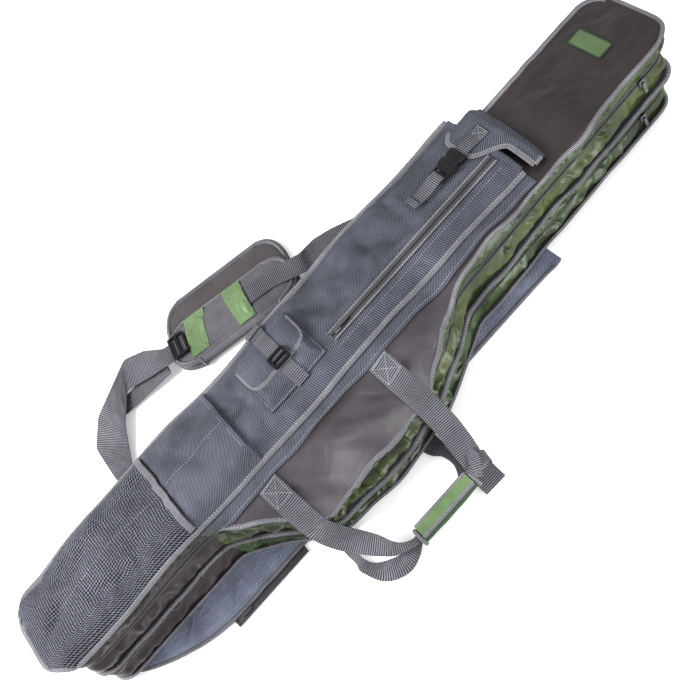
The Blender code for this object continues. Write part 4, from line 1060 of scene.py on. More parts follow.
edge = [(-FLAP_HALF, y) for y in np.linspace(0.040, 0.008, 14)]
edge += [(x, flap_end(x, *FLAP_END)) for x in np.linspace(-0.0575, 0.0575, 60)]
edge += [(FLAP_HALF, y) for y in np.linspace(0.008, 0.040, 14)]
edge = smoothed([(SMALL_X + x, y, small_flap_z(x, y)) for x, y in edge])
edge_out = sideways(edge)
bind("small_flap_binding", edge, edge_out, 0.008, 0.0034, "small_flap", -0.0022)
stitches("small_flap_stitches",
         [[p - out * 0.0045 + Vector((0, 0, 0.0019)) for p, out in zip(edge, edge_out)]],
         "small_flap", 0.0042, 0.0026)

WEBBING = cloth("ribbed_webbing", (0.100, 0.100, 0.113), "web", 0.0032, 0.90, 0.0010, 0.75, 0.05, 0.3)
STEP = 0.0035
WEB_WIDE = 0.038
CLOSING_WIDE = 0.025


def spline(knots, step=STEP):
    """Catmull-Rom through (place, across[, width share]) knots, spaced evenly along its length."""
    rows = np.array([[*k[0], *Vector(k[1]).normalized(), k[2] if len(k) > 2 else 1.0]
                     for k in knots], float)
    fine = []
    for i in range(len(rows) - 1):
        p0, p1 = rows[max(i - 1, 0)], rows[i]
        p2, p3 = rows[i + 1], rows[min(i + 2, len(rows) - 1)]
        for t in np.linspace(0, 1, 24, endpoint=False):
            fine.append(0.5 * (2 * p1 + (p2 - p0) * t + (2 * p0 - 5 * p1 + 4 * p2 - p3) * t * t
                               + (3 * p1 - p0 - 3 * p2 + p3) * t ** 3))
    fine = np.array(fine + [rows[-1]])
    run = np.concatenate([[0], np.cumsum(np.linalg.norm(np.diff(fine[:, :3], axis=0), axis=1))])
    at = np.linspace(0, run[-1], max(4, int(run[-1] / step)))
    even = np.stack([np.interp(at, run, fine[:, c]) for c in range(7)], 1)
    return even[:, :3], even[:, 3:6], even[:, 6]


def webbing(name, knots, width, body, nodes=(), thick=0.0018, mat=None, step=STEP):
    """Flat woven webbing along knots; the width may narrow where it is folded or pulled in."""
    centres, across, share = spline(knots, step)
    return sweep(name, centres, across, flat_profile(width, thick), mat or WEBBING, body, nodes,
                 share)


def folded_webbing(name, rails, body, nodes=(), thick=0.0018):
    """Webbing laid flat between pairs of edge points, creased sharply at each pair."""
    near = np.array([r[0] for r in rails], float)
    far = np.array([r[1] for r in rails], float)
    run = np.concatenate([[0], np.cumsum(np.linalg.norm(np.diff((near + far) / 2, axis=0), axis=1))])
    at = np.linspace(0, run[-1], int(run[-1] / STEP))
    near, far = (np.stack([np.interp(at, run, rail[:, c]) for c in range(3)], 1)
                 for rail in (near, far))
    for _ in range(2):
        for rail in (near, far):
            rail[1:-1] = (rail[:-2] + rail[1:-1] * 2 + rail[2:]) / 4
    share = np.linalg.norm(far - near, axis=1) / WEB_WIDE
    return sweep(name, (near + far) / 2, far - near, flat_profile(WEB_WIDE, thick), WEBBING, body,
                 nodes, share, True)


def level(places, across=(1, 0, 0)):
    """Knots that all face the same way."""
    return [(place, across) for place in places]


WEB_X = SMALL_X + 0.006
small_strap = webbing("small_pocket_strap_webbing", level([
    (WEB_X - 0.002, 0.0885, 0.1500), (WEB_X - 0.002, 0.080, 0.1535), (WEB_X, 0.068, 0.1590),
    (WEB_X, 0.057, 0.1608), (WEB_X, 0.046, 0.1748), (WEB_X, 0.030, 0.1751),
    (WEB_X, 0.000, 0.1749), (WEB_X, -0.026, 0.1738)]), CLOSING_WIDE, None,
    ["small_pocket_strap"])
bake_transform(small_strap)
webbing("small_pocket_lower_webbing", level([
    (WEB_X, -0.026, 0.1718), (WEB_X, -0.040, 0.1712), (WEB_X, -0.050, 0.1640),
    (WEB_X, -0.060, 0.1590)]), 0.024, "front_leaf")
webbing("small_strap_folded_end", [
    ((WEB_X - 0.004, 0.0895, 0.1505), (1, 0.05, 0)), ((WEB_X - 0.003, 0.082, 0.1560), (1, 0.05, 0)),
    ((WEB_X - 0.002, 0.072, 0.1606), (1, 0, 0))], 0.029, "front_leaf")

# ---- long zip let into the front pocket ----
# Two grey tapes with a dark coil between them, a stitch line either side, one across its butt end and
# one along the pocket below it.
LONG_Y = -0.045
run = [Vector((x, LONG_Y, 0.1580)) for x in np.linspace(-0.005, 0.345, 80)]
for label, side in (("near", -1), ("far", 1)):
    sweep("long_zip_tape_" + label, [p + Vector((0, side * 0.0040, 0)) for p in run],
          [(0, 1, 0)] * 80, flat_profile(0.0060, 0.0018), ZIP_TAPE, "front_leaf", ["long_zip"])
    bind("long_zip_fold_" + label, [p + Vector((0, side * 0.0085, 0.0004)) for p in run],
         [(0, 1, 0)] * 80, 0.0040, 0.0024, "front_leaf")
beads("long_zip_coil", [run], "front_leaf", 0.0021, 0.0015, 0.0042, 0.0018, COIL)
stitches("long_zip_stitches", [[p + Vector((0, 0.0092, 0.0016)) for p in run],
                               [p + Vector((0, -0.0092, 0.0016)) for p in run],
                               [Vector((-0.008, y, 0.1590)) for y in np.linspace(-0.058, -0.032, 12)],
                               [Vector((x, -0.0665, pocket_z(x, -0.0665) + 0.0009))
                                for x in np.linspace(-0.01, 0.34, 80)]], "front_leaf", 0.0050)

# ---- end flap, with the webbing and buckle that close it ----
# Bound cloth hinged on the cover past the pocket's mouth, long at the spine side.
HINGE_X = 0.390


def end_flap_front(y):
    """The end flap's free edge, cut back at the zipped side."""
    narrow = clamp((-0.008 - y) / 0.045)
    return HINGE_X - 0.062 * (1 - 0.74 * eased(narrow))


def end_flap_z(x, y):
    """Height of the end flap, raised where the webbing pulls on it."""
    root = clamp((x - 0.386) / 0.018)
    hang = max(0.0, (-0.050 - y) / 0.052)
    wave = 0.0010 * fbm(x, y, 8.0, 16.0)
    lift = 0.0035 * max(0.0, 1 - abs(x - 0.345) / 0.02) * max(0.0, 1 - abs(y - 0.004) / 0.03)
    return 0.1590 + wave + lift - 0.0160 * eased(root) - 0.0085 * hang * hang


end_grid = []
for k in range(61):
    y = 0.050 - 0.152 * k / 60
    first = end_flap_front(y)
    if y > 0.036:
        first += 0.014 * ((y - 0.036) / 0.014) ** 2
    last = 0.404 - 0.010 * (k / 60) ** 2
    end_grid.append([(x, y, end_flap_z(x, y)) for x in np.linspace(first, last, 31)])
end_flap = sheet("end_flap_cloth", end_grid, CLOTH, POCKET_CLOTH, None, ["end_flap"])
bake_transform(end_flap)
free_edge = smoothed([Vector(row[0]) for row in end_grid], 3)
bind("end_flap_binding", free_edge, sideways(free_edge), 0.0095, 0.0034, "end_flap")
stitches("end_flap_stitches", [[p + Vector((0.002, 0, 0.0020)) for p in free_edge]], "end_flap",
         0.0044, 0.0028)
foot = [Vector(p) for p in end_grid[-1]]
bind("end_flap_foot_binding", foot[:22], [(0, 1, 0)] * 22, 0.0085, 0.0034, "end_flap")
WEB_Y = 0.004
webbing("end_flap_webbing", level([
    (0.376, WEB_Y, 0.1606), (0.362, WEB_Y, 0.1612), (0.345, WEB_Y, 0.1640),
    (0.330, WEB_Y, 0.1640), (0.322, WEB_Y, 0.1638)], (0, 1, 0)), CLOSING_WIDE, "end_flap",
    ["flap_web"])
BOX_LINE = [(-1, -1), (1, -1), (1, 1), (-1, 1), (-1, -1), (1, 1), (1, -1), (-1, 1)]


def box_stitch(name, centre, along, across, half_along, half_across, body):
    """The sewn square with a cross that holds webbing down."""
    corners = [Vector(centre) + Vector(along) * a * half_along + Vector(across) * b * half_across
               for a, b in BOX_LINE]
    line = []
    for start, stop in zip(corners, corners[1:]):
        line += [start.lerp(stop, k / 10) for k in range(10)]
    stitches(name, [line + [corners[-1]]], body, 0.0032, 0.0022)


box_stitch("end_flap_web_stitches", (0.366, WEB_Y, 0.1624), (1, 0, 0), (0, 1, 0), 0.008, 0.010,
           "end_flap")


def moulding(name, loops, base, thick, bevel, mat, body, nodes=()):
    """A flat moulding with rounded rims, from outline loops in X and Y."""
    outline = bpy.data.curves.new(name, "CURVE")
    outline.dimensions = "2D"
    outline.fill_mode = "BOTH"
    outline.extrude = thick / 2 - bevel
    outline.bevel_depth = bevel
    outline.bevel_resolution = 2
    outline.offset = -bevel
    for loop in loops:
        drawn = outline.splines.new("POLY")
        drawn.points.add(len(loop) - 1)
        for point, (x, y) in zip(drawn.points, loop):
            point.co = (x, y, 0, 1)
        drawn.use_cyclic_u = True
    source = link(name + "_source", outline)
    graph = bpy.context.evaluated_depsgraph_get()
    mesh = bpy.data.meshes.new_from_object(source.evaluated_get(graph))
    bpy.data.objects.remove(source, do_unlink=True)
    bm = bmesh.new()
    bm.from_mesh(mesh)
    bmesh.ops.remove_doubles(bm, verts=bm.verts, dist=0.00001)
    bmesh.ops.translate(bm, verts=bm.verts, vec=(0, 0, base + thick / 2))
    bmesh.ops.recalc_face_normals(bm, faces=bm.faces)
    bm.to_mesh(mesh)
    bm.free()
    mesh.name = name
    mesh.materials.clear()
    mesh.materials.append(mat)
    smooth(mesh, 40)
    return belongs(link(name, mesh), body, nodes, True)


def rounded_box(x0, y0, x1, y1, radius, steps=6):
    """Outline of a box with round corners."""
    points = []
    for quarter, (cx, cy) in enumerate(((x1 - radius, y1 - radius), (x0 + radius, y1 - radius),
                                        (x0 + radius, y0 + radius), (x1 - radius, y0 + radius))):
        for step in range(steps + 1):
            angle = math.pi / 2 * (quarter + step / steps)
            points.append((cx + radius * math.cos(angle), cy + radius * math.sin(angle)))
    return points


# Socket of the side-release buckle: waisted body with a window at each side for the prongs.
socket_outline = []
for k in range(25):
    t = k / 24
    x = 0.2935 + 0.031 * t
    socket_outline.append((x, WEB_Y - 0.0165 + 0.0034 * math.sin(math.pi * min(1.0, t * 1.5)) ** 2))
for k in range(25):
    t = 1 - k / 24
    x = 0.2935 + 0.031 * t
    socket_outline.append((x, WEB_Y + 0.0165 - 0.0034 * math.sin(math.pi * min(1.0, t * 1.5)) ** 2))
moulding("buckle_socket_moulding", [socket_outline], 0.1592, 0.0086, 0.0016, BLACK_PLASTIC,
         "end_flap", ["buckle_socket"])
moulding("buckle_socket_rib", [rounded_box(0.300, WEB_Y - 0.006, 0.321, WEB_Y + 0.006, 0.003)],
         0.1674, 0.0012, 0.0004, BLACK_PLASTIC, "end_flap")
plug_outline = [(0.2925, WEB_Y - 0.0145), (0.2925, WEB_Y - 0.0175), (0.2975, WEB_Y - 0.0185),
                (0.3060, WEB_Y - 0.0170), (0.3060, WEB_Y - 0.0125), (0.2945, WEB_Y - 0.0125),
                (0.2945, WEB_Y + 0.0125), (0.3060, WEB_Y + 0.0125), (0.3060, WEB_Y + 0.0170),
                (0.2975, WEB_Y + 0.0185), (0.2925, WEB_Y + 0.0175), (0.2925, WEB_Y + 0.0145),
                (0.2715, WEB_Y + 0.0150), (0.2715, WEB_Y - 0.0150)]
plug_slots = [rounded_box(x, WEB_Y - 0.0120, x + 0.0042, WEB_Y + 0.0120, 0.001, 2)
              for x in (0.2745, 0.2825)]
moulding("buckle_plug_moulding", [plug_outline] + plug_slots, 0.1612, 0.0048, 0.0007,
         BLACK_PLASTIC, "buckle_plug", ["buckle_plug"])
moulding("buckle_plug_bar", [rounded_box(0.2788, WEB_Y - 0.0125, 0.2822, WEB_Y + 0.0125, 0.0012)],
         0.1655, 0.0022, 0.0006, BLACK_PLASTIC, "buckle_plug")
webbing("buckle_tail_webbing", [
    ((0.2800, WEB_Y, 0.1652), (0, 1, 0)), ((0.2700, WEB_Y, 0.1664), (0, 1, 0)),
    ((0.2500, WEB_Y, 0.1640), (0, 1, 0.03)), ((0.2330, WEB_Y + 0.001, 0.1625), (0, 1, -0.03)),
    ((0.2200, WEB_Y + 0.002, 0.1632), (0.02, 1, 0))], CLOSING_WIDE, "buckle_plug",
    ["buckle_tail"])
webbing("buckle_tail_folded_end", [
    ((0.2270, WEB_Y + 0.002, 0.1650), (0.02, 1, 0)), ((0.2190, WEB_Y + 0.002, 0.1652), (0.02, 1, 0)),
    ((0.2160, WEB_Y + 0.002, 0.1640), (0.02, 1, 0))], 0.0255, "buckle_plug")
webbing("buckle_anchor_webbing", level([
    (0.2380, WEB_Y, 0.1582), (0.2600, WEB_Y, 0.1582), (0.2760, WEB_Y, 0.1590)], (0, 1, 0)),
    CLOSING_WIDE, "front_leaf", ["buckle_anchor_web"])

# ---- plain patch near the tip end ----
# A light green woven badge with a darker stitched border, left blank.
PATCH_GREEN = cloth("light_green_cloth", (0.125, 0.190, 0.090), "web", 0.0016, 0.3, 0.0003, 0.65)
PATCH_EDGE = cloth("patch_border_thread", (0.045, 0.090, 0.045), "web", 0.001, 0.3, 0.0003, 0.6)
badge = rounded_box(0.560, -0.058, 0.590, 0.010, 0.004)
moulding("patch_cloth", [badge], 0.1412, 0.0010, 0.0003, PATCH_EDGE, "front_leaf",
         ["cover_patch"])
moulding("patch_face", [rounded_box(0.5625, -0.0555, 0.5875, 0.0075, 0.0025)], 0.1420, 0.0007,
         0.0002, PATCH_GREEN, "front_leaf", ())

# ---- carrying handles ----
# Wide webbing sewn to the cover with crossed squares, hanging over the reel bulge's edge.


def on_cover(x, y, lift):
    """A point on the cover, a little clear of the slack part below the sewn squares."""
    return (x, y, above_cover(y, lift) + 0.0030 * clamp((-0.125 - y) * 40))


def handle_top(x):
    """Knots down the cover to its edge, where a handle's web leaves it."""
    return level([on_cover(x, y, 0.0030) for y in (-0.120, -0.134, -0.148, -0.162, -0.176)])


butt_web = webbing("front_handle_butt_webbing", handle_top(-0.225) + [
    ((-0.2245, -0.188, 0.0920), (1, 0, 0)), ((-0.223, -0.199, 0.0815), (1, 0, 0)),
    ((-0.213, -0.220, 0.0600), (1, 0.15, -0.1)),
    ((-0.198, -0.244, 0.0440), (0.9, 0.35, 0.2), 0.92),
    ((-0.184, -0.266, 0.0360), (0.7, 0.35, 0.5), 0.85),
    ((-0.172, -0.284, 0.0300), (0.5, 0.3, 0.8), 0.70),
    ((-0.158, -0.294, 0.0255), (0.2, 0.5, 0.9), 0.42),
    ((-0.144, -0.299, 0.0230), (0.1, 0.8, 0.5), 0.30),
    ((-0.128, -0.300, 0.0220), (0, 0.6, 1), 0.42)], WEB_WIDE, None,
    ["front_handle_run_butt", "front_handle_butt"])
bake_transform(butt_web)
tip_web = webbing("front_handle_tip_webbing", handle_top(0.012) + [
    ((0.012, -0.188, 0.0920), (1, 0, 0)), ((0.012, -0.199, 0.0815), (1, 0, 0)),
    ((0.009, -0.226, 0.0540), (1, 0, 0.06)), ((0.003, -0.256, 0.0390), (1, 0.04, -0.08)),
    ((-0.003, -0.284, 0.0290), (1, 0.03, 0.08), 0.92), ((-0.006, -0.300, 0.0170), (1, 0.05, 0)),
    ((-0.007, -0.3250, 0.0060), (1, 0.07, 0))], WEB_WIDE, None,
    ["front_handle_run_tip", "front_handle_tip"])
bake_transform(tip_web)
for label, x in (("butt", -0.225), ("tip", 0.012)):
    middle = Vector(on_cover(x, -0.139, 0.0043))
    slope = Vector(on_cover(x, -0.134, 0.0)) - Vector(on_cover(x, -0.144, 0.0))
    box_stitch(f"front_handle_{label}_stitches", middle, slope.normalized(), (1, 0, 0), 0.016,
               0.015, "front_leaf")
webbing("front_handle_wrapped_end", [
    ((-0.026, -0.300, 0.0260), (0, 1, 0.4), 0.6), ((-0.016, -0.299, 0.0330), (0.1, 1, 0.2), 0.8),
    ((-0.003, -0.297, 0.0350), (0.2, 1, 0.1)), ((0.010, -0.294, 0.0320), (0.2, 1, -0.1)),
    ((0.016, -0.293, 0.0240), (0.2, 1, -0.2)), ((0.014, -0.293, 0.0160), (0.2, 1, -0.2), 0.9)],
    0.024, "front_handle")
webbing("front_handle_wrapped_loop", [
    ((-0.014, -0.310, 0.0300), (1, -0.4, 0.2), 0.5), ((-0.006, -0.300, 0.0372), (1, 0.2, 0), 0.8),
    ((0.000, -0.288, 0.0385), (1, 0.5, 0)), ((0.003, -0.276, 0.0370), (1, 0.2, 0), 0.8),
    ((0.002, -0.266, 0.0330), (1, 0, 0), 0.6)], 0.018, "front_handle")
rear_web = webbing("rear_handle_webbing", [
    ((-0.213, -0.152, 0.0072), (1, 0, 0)), ((-0.213, -0.175, 0.0066), (1, 0, 0)),
    ((-0.214, -0.200, 0.0064), (1, 0, 0)), ((-0.219, -0.222, 0.0080), (1, 0.1, 0.3), 0.9),
    ((-0.223, -0.243, 0.0100), (0.9, 0.3, 0.6), 0.55),
    ((-0.221, -0.262, 0.0090), (0.9, 0.4, -0.4), 0.7),
    ((-0.205, -0.286, 0.0060), (0.6, 0.8, 0.1)), ((-0.180, -0.300, 0.0060), (0.1, 1, 0.15)),
    ((-0.158, -0.300, 0.0080), (0, 1, 0.3), 0.75), ((-0.138, -0.294, 0.0095), (0, 1, 0.4), 0.45),
    ((-0.110, -0.291, 0.0080), (0, 1, 0.1), 0.5), ((-0.060, -0.290, 0.0060), (0, 1, 0.1), 0.55),
    ((-0.040, -0.287, 0.0060), (-0.3, 1, 0), 0.6), ((-0.027, -0.276, 0.0070), (-0.8, 0.6, 0.3), 0.6),
    ((-0.020, -0.255, 0.0090), (-1, 0.1, 0.6), 0.5), ((-0.021, -0.228, 0.0085), (-1, 0, 0.3), 0.6),
    ((-0.027, -0.204, 0.0068), (-1, 0, 0)), ((-0.028, -0.175, 0.0066), (-1, 0, 0)),
    ((-0.028, -0.152, 0.0072), (-1, 0, 0))], 0.030, None,
    ["rear_handle", "rear_handle_anchor_butt", "rear_handle_anchor_tip"])
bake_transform(rear_web)


# Padded grip: a foam wrap round the webbing, light green with a dark middle band.
def inflate(obj, voxel, pressure, limit):
    """Let air push the shell out like foam under cloth, by no more than a set distance."""
    remesh = obj.modifiers.new("remesh", "REMESH")
    remesh.mode = "VOXEL"
    remesh.voxel_size = voxel
    settle(obj)
    rest = np.array([v.co[:] for v in obj.data.vertices])
    softness = obj.modifiers.new("cloth", "CLOTH")
    softness.settings.quality = 6
    softness.settings.mass = 0.2
    softness.settings.use_pressure = True
    softness.settings.uniform_pressure_force = pressure
    softness.settings.effector_weights.gravity = 0.0
    softness.settings.tension_stiffness = 20
    softness.settings.bending_stiffness = 0.6
    softness.point_cache.frame_start = 1
    softness.point_cache.frame_end = 20
    for at in range(1, 21):
        bpy.context.scene.frame_set(at)
    settle(obj)
    bpy.context.scene.frame_set(1)
    moved = np.array([v.co[:] for v in obj.data.vertices]) - rest
    far = np.linalg.norm(moved, axis=1)[:, None]
    place = rest + moved * np.minimum(1.0, limit / np.maximum(far, 1e-9))
    obj.data.vertices.foreach_set("co", place.reshape(-1).astype(np.float32))
    ease = obj.modifiers.new("ease", "SUBSURF")
    ease.levels = 1
    ease.render_levels = 1
    settle(obj)
    for face in obj.data.polygons:
        face.use_smooth = True
    return obj


def plan_uv(obj, origin, along, over):
    """UVs in metres measured along two directions."""
    layer = obj.data.uv_layers.get("UVMap") or obj.data.uv_layers.new(name="UVMap")
    for loop in obj.data.loops:
        at = obj.data.vertices[loop.vertex_index].co - Vector(origin)
        layer.data[loop.index].uv = (at.dot(Vector(along)), at.dot(Vector(over)))
    return obj


def closed_tube(name, rings, mat):
    """A capped tube through rings of points."""
    rings = np.array(rings)
    count, sides = rings.shape[:2]
    faces = [(i * sides + j, i * sides + (j + 1) % sides, (i + 1) * sides + (j + 1) % sides,
              (i + 1) * sides + j) for i in range(count - 1) for j in range(sides)]
    faces += [list(range(sides))[::-1], [(count - 1) * sides + j for j in range(sides)]]
    mesh = bpy.data.meshes.new(name)
    mesh.from_pydata(rings.reshape(-1, 3).tolist(), [], faces)
    face_out(mesh)
    mesh.materials.append(mat)
    return link(name, mesh)


GRIP_X0 = -0.133
GRIP_LENGTH = 0.112
GRIP_Y = -0.300
GRIP_Z = 0.0220
grip_rings = []
for i in range(29):
    u = i / 28
    x = GRIP_X0 + GRIP_LENGTH * u
    swell = 1.0 - 0.12 * (2 * u - 1) ** 2 + 0.02 * math.sin(u * 20)
    ring = []
    for j in range(32):
        a = 2 * math.pi * j / 32
        ring.append((x, GRIP_Y + 0.0148 * swell * math.cos(a),
                     GRIP_Z + 0.0088 * swell * math.sin(a)))
    grip_rings.append(ring)
DARK_GREEN = cloth("dark_green_cloth", (0.040, 0.070, 0.038), "plain", 0.0012, 0.2, 0.0003, 0.6)
grip = closed_tube("grip_padding", grip_rings, DARK_GREEN)
inflate(grip, 0.0040, 4.0, 0.0012)
plan_uv(grip, (GRIP_X0, GRIP_Y, 0), (1, 0, 0), (0, 1, 0))
belongs(grip, "front_handle", ["handle_grip"])
flap_rows = []
for i in range(41):
    x = GRIP_X0 + 0.004 + (GRIP_LENGTH - 0.008) * i / 40
    flap_rows.append([(x, -0.310 + 0.022 * k / 10,
                       0.0322 - 0.0012 * (k / 10) ** 2 + 0.0006 * fbm(x, k, 3.0, 20.0))
                      for k in range(11)])
sheet("grip_flap_cloth", flap_rows, 0.0020, PATCH_GREEN, "grip_flap", ["grip_flap"])
for label, row in (("near", 0), ("far", 10)):
    bind("grip_flap_binding_" + label, [r[row] for r in flap_rows], [(0, 1, 0)] * 41, 0.0060,
         0.0036, "grip_flap")
stitches("grip_flap_stitches", [[Vector(r[row]) + Vector((0, inward, 0.002)) for r in flap_rows]
                                for row, inward in ((0, 0.001), (10, -0.001))], "grip_flap", 0.0040)
for label, x in (("butt", GRIP_X0 - 0.0005), ("tip", GRIP_X0 + GRIP_LENGTH + 0.0005)):
    loop = [Vector((x, GRIP_Y + 0.0146 * math.cos(a), GRIP_Z + 0.0088 * math.sin(a)))
            for a in np.linspace(0, 2 * math.pi, 40)]
    bind("grip_end_binding_" + label, loop, [(1, 0, 0)] * 40, 0.0060, 0.0030, "front_handle")

# ---- shoulder strap ----
# Wide webbing from two tabs behind the spine; it folds over itself, then runs over the pad.
PAD_TILT = math.radians(-15.5)
pad_along = Vector((math.cos(PAD_TILT), math.sin(PAD_TILT), 0))
pad_over = Vector((-math.sin(PAD_TILT), math.cos(PAD_TILT), 0))


def pad_spot(s, t, z):
    """A point s along the pad and t across it, at height z."""
    spot = Vector((-0.088, 0.285, 0)) + pad_along * s + pad_over * t
    return Vector((spot.x, spot.y, z))


STRAP_T = -0.012
short_web = folded_webbing("shoulder_strap_short_webbing", [
    ((-0.419, 0.040, 0.0045), (-0.381, 0.040, 0.0045)),
    ((-0.419, 0.110, 0.0045), (-0.381, 0.110, 0.0045)),
    ((-0.440, 0.222, 0.0080), (-0.402, 0.214, 0.0090)),
    ((-0.433, 0.300, 0.0160), (-0.386, 0.246, 0.0110)),
    ((-0.394, 0.347, 0.0190), (-0.364, 0.284, 0.0180)),
    ((-0.290, 0.391, 0.0240), (-0.323, 0.340, 0.0150)),
    ((-0.252, 0.368, 0.0240), (-0.274, 0.312, 0.0220)),
    (pad_spot(-0.143, 0.008, 0.0268), pad_spot(-0.143, -0.031, 0.0268)),
    (pad_spot(-0.108, 0.007, 0.0268), pad_spot(-0.108, -0.031, 0.0268))], None,
    ["shoulder_strap_short", "shoulder_tab_butt"])
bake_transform(short_web)
folded_webbing("shoulder_strap_spare_webbing", [
    ((-0.378, 0.345, 0.0060), (-0.352, 0.310, 0.0060)),
    ((-0.300, 0.337, 0.0100), (-0.300, 0.299, 0.0100)),
    ((-0.245, 0.322, 0.0190), (-0.240, 0.284, 0.0190)),
    (pad_spot(-0.150, 0.002, 0.0225), pad_spot(-0.150, -0.036, 0.0225))], "shoulder_strap")
webbing("shoulder_strap_middle_webbing", level([
    pad_spot(-0.119, STRAP_T, 0.0292), pad_spot(-0.080, STRAP_T, 0.0290),
    pad_spot(-0.050, STRAP_T, 0.0285)], tuple(pad_over)), WEB_WIDE, "shoulder_strap",
    ["shoulder_strap_long"])
long_web = folded_webbing("shoulder_strap_long_webbing", [
    (pad_spot(0.026, 0.007, 0.0285), pad_spot(0.026, -0.031, 0.0285)),
    (pad_spot(0.090, 0.006, 0.0290), pad_spot(0.090, -0.032, 0.0290)),
    ((0.062, 0.238, 0.0285), (0.044, 0.198, 0.0290)),
    ((0.074, 0.246, 0.0200), (0.060, 0.200, 0.0190)),
    ((0.098, 0.248, 0.0160), (0.100, 0.205, 0.0130)),
    ((0.133, 0.238, 0.0110), (0.126, 0.198, 0.0070)),
    ((0.202, 0.200, 0.0070), (0.178, 0.168, 0.0050)),
    ((0.234, 0.150, 0.0050), (0.196, 0.140, 0.0046)),
    ((0.234, 0.105, 0.0045), (0.196, 0.105, 0.0045)),
    ((0.234, 0.040, 0.0045), (0.196, 0.040, 0.0045))], None,
    ["shoulder_strap_long", "shoulder_tab_tip"])
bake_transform(long_web)

# ---- shoulder pad ----
# Foam between grey cloth outside and brown cloth inside, folded lengthwise, bound in grey.
PAD_OUT = cloth("pad_grey_cloth", (0.098, 0.096, 0.107), "plain", 0.0012, 0.15, 0.0002, 0.55)
PAD_IN = cloth("pad_brown_lining", (0.070, 0.062, 0.064), "plain", 0.0012, 0.15, 0.0002, 0.55)
PAD_THICK = 0.0080
PAD_TOP = 0.034
PAD_LOW = 0.098
PAD_FOLD = 0.058
PAD_TOP_RUN = PAD_TOP + PAD_FOLD
PAD_LOW_RUN = PAD_LOW + PAD_FOLD
PAD_ARC = math.pi * PAD_THICK


def pad_point(u, v, off=0.0):
    """Padding from the upper leaf's free edge, round the fold, to the lower leaf's edge."""
    go = v * (PAD_TOP_RUN + PAD_ARC + PAD_LOW_RUN)
    middle = PAD_THICK * 1.5 + 0.0015
    if go < PAD_TOP_RUN:
        t, z, nt, nz = PAD_TOP - go, middle + PAD_THICK, 0.0, 1.0
    elif go < PAD_TOP_RUN + PAD_ARC:
        angle = math.pi / 2 + (go - PAD_TOP_RUN) / PAD_THICK
        nt, nz = math.cos(angle), math.sin(angle)
        t, z = -PAD_FOLD + PAD_THICK * nt, middle + PAD_THICK * nz
    else:
        t, z, nt, nz = -PAD_FOLD + go - PAD_TOP_RUN - PAD_ARC, middle - PAD_THICK, 0.0, -1.0
    free, radius = (PAD_TOP, 0.040) if go < PAD_TOP_RUN + PAD_ARC / 2 else (PAD_LOW, 0.062)
    fold_radius = 0.034
    curl = max(0.0, t - (free - radius), -PAD_FOLD + fold_radius - t)
    curl /= radius if t > 0 else fold_radius
    reach = 0.130 - 0.045 * (1 - math.sqrt(max(0.0, 1 - min(1.0, curl) ** 2)))
    return pad_spot((2 * u - 1) * reach, t + nt * off, z + nz * off)


pad_grid = [[tuple(pad_point(i / 60, k / 60)) for k in range(61)] for i in range(61)]
pad = sheet("shoulder_pad_padding", pad_grid, 0.0062, PAD_OUT, None)
inflate(pad, 0.0045, 4.0, 0.0018)
plan_uv(pad, pad_spot(0, 0, 0), pad_along, pad_over)
pad.data.materials.append(PAD_IN)
for face in pad.data.polygons:
    above_gap = face.center.z - 0.0135
    inside = face.normal.z * above_gap < 0
    inside = inside and (face.center - pad_spot(0, 0, 0)).dot(pad_over) > -PAD_FOLD
    face.material_index = 1 if inside else 0
belongs(pad, "shoulder_pad", ["shoulder_pad"])
for label, span in (("butt", [(0.004, v) for v in np.linspace(0, 1, 110)]),
                    ("tip", [(0.996, v) for v in np.linspace(0, 1, 110)]),
                    ("near", [(u, 0.004) for u in np.linspace(0, 1, 60)]),
                    ("far", [(u, 0.996) for u in np.linspace(0, 1, 60)])):
    line = smoothed([pad_point(u, v) for u, v in span], 3)
    normal = [pad_point(u, v, 0.001) - pad_point(u, v) for u, v in span]
    bind("pad_binding_" + label, line, normal, 0.0100, 0.0100, "shoulder_pad")
fold_share = (PAD_TOP_RUN + PAD_ARC * 0.22) / (PAD_TOP_RUN + PAD_ARC + PAD_LOW_RUN)
fold_line = [pad_point(u, fold_share, 0.0026) for u in np.linspace(0.02, 0.98, 60)]
bind("pad_binding_fold", fold_line, [Vector((0, 0, 1)) + pad_over * 0.9] * 60, 0.0095, 0.0030,
     "shoulder_pad")
stitches("pad_binding_stitches", [[pad_point(u, 0.004) + Vector((0, 0, 0.0052))
                                   for u in np.linspace(0.02, 0.98, 60)]], "shoulder_pad", 0.0045)


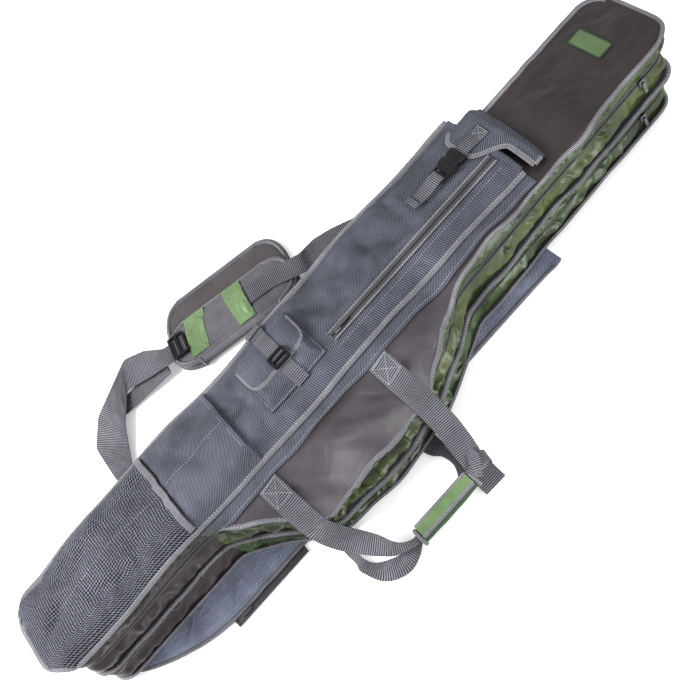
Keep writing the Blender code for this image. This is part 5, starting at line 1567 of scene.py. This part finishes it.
def pad_band(name, s0, s1, t0, t1, mat, lift=0.0, slant=0.0, flare=0.0):
    """Cloth over the upper leaf and the webbing that runs beneath it."""
    grid = []
    for i in range(25):
        column = []
        for k in range(31):
            t = t0 + (t1 - t0) * k / 30
            s = s0 + (s1 - s0) * i / 24 + slant * (t - t0) + flare * (t - t0) * i / 24
            over_web = max(0.0, 1 - (abs(t - STRAP_T) / 0.027) ** 4)
            column.append(tuple(pad_spot(s, t, 0.0262 + lift + 0.0048 * over_web
                                         + 0.0005 * fbm(s, t, 4.0, 30.0))))
        grid.append(column)
    return sheet(name, grid, 0.0012, mat, "shoulder_pad", ())


PAD_GREEN = cloth("pad_green_satin", (0.125, 0.185, 0.092), "plain", 0.0014, 0.15, 0.0002, 0.40,
                  0.0, 0.35, 0.0050)
pad_band("pad_sleeve", -0.062, 0.032, -0.050, 0.026, PAD_OUT)
pad_band("pad_keeper_butt", -0.096, -0.060, -0.052, 0.032, PAD_GREEN, 0.0008, 0.10, 0.10)
pad_band("pad_keeper_tip", 0.006, 0.040, -0.056, 0.032, PAD_GREEN, 0.0008, -0.10, 0.06)

# ---- rod ties on the floor of each compartment ----
# Short bands of the same webbing, lying across the rods' way.
for label, x in (("butt", -0.460), ("tip", 0.340)):
    for layer, body, z, reach in (("rear", "rear_rod_tie_" + label, 0.0168, 0.035),
                                  ("front", "front_rod_tie_" + label, 0.0668, 0.056)):
        webbing(f"{layer}_tie_{label}_webbing", level([
            (x, 0.010, z), (x, 0.010 - reach / 2, z), (x, 0.010 - reach, z)]), 0.030, body, [body])

# ---- sliders, pulls and the hard buckles that keep their own shape ----
# Dark lacquered zinc on the zips, black moulded plastic on the ladder buckle and adjuster.
ZINC = cloth("dark_lacquered_zinc", (0.16, 0.16, 0.17), "plain", 0.001, 0.1, 0.00003, 0.32, 0.0, 0.1)
ZINC.node_tree.nodes["Principled BSDF"].inputs["Metallic"].default_value = 0.85
for part_name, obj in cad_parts.items():
    finish = None
    if part_name.endswith(("_slider", "_pull")):
        finish = ZINC
    elif part_name in ("small_pocket_buckle", "strap_adjuster"):
        finish = BLACK_PLASTIC
    if finish:
        obj.data.materials.clear()
        obj.data.materials.append(finish)
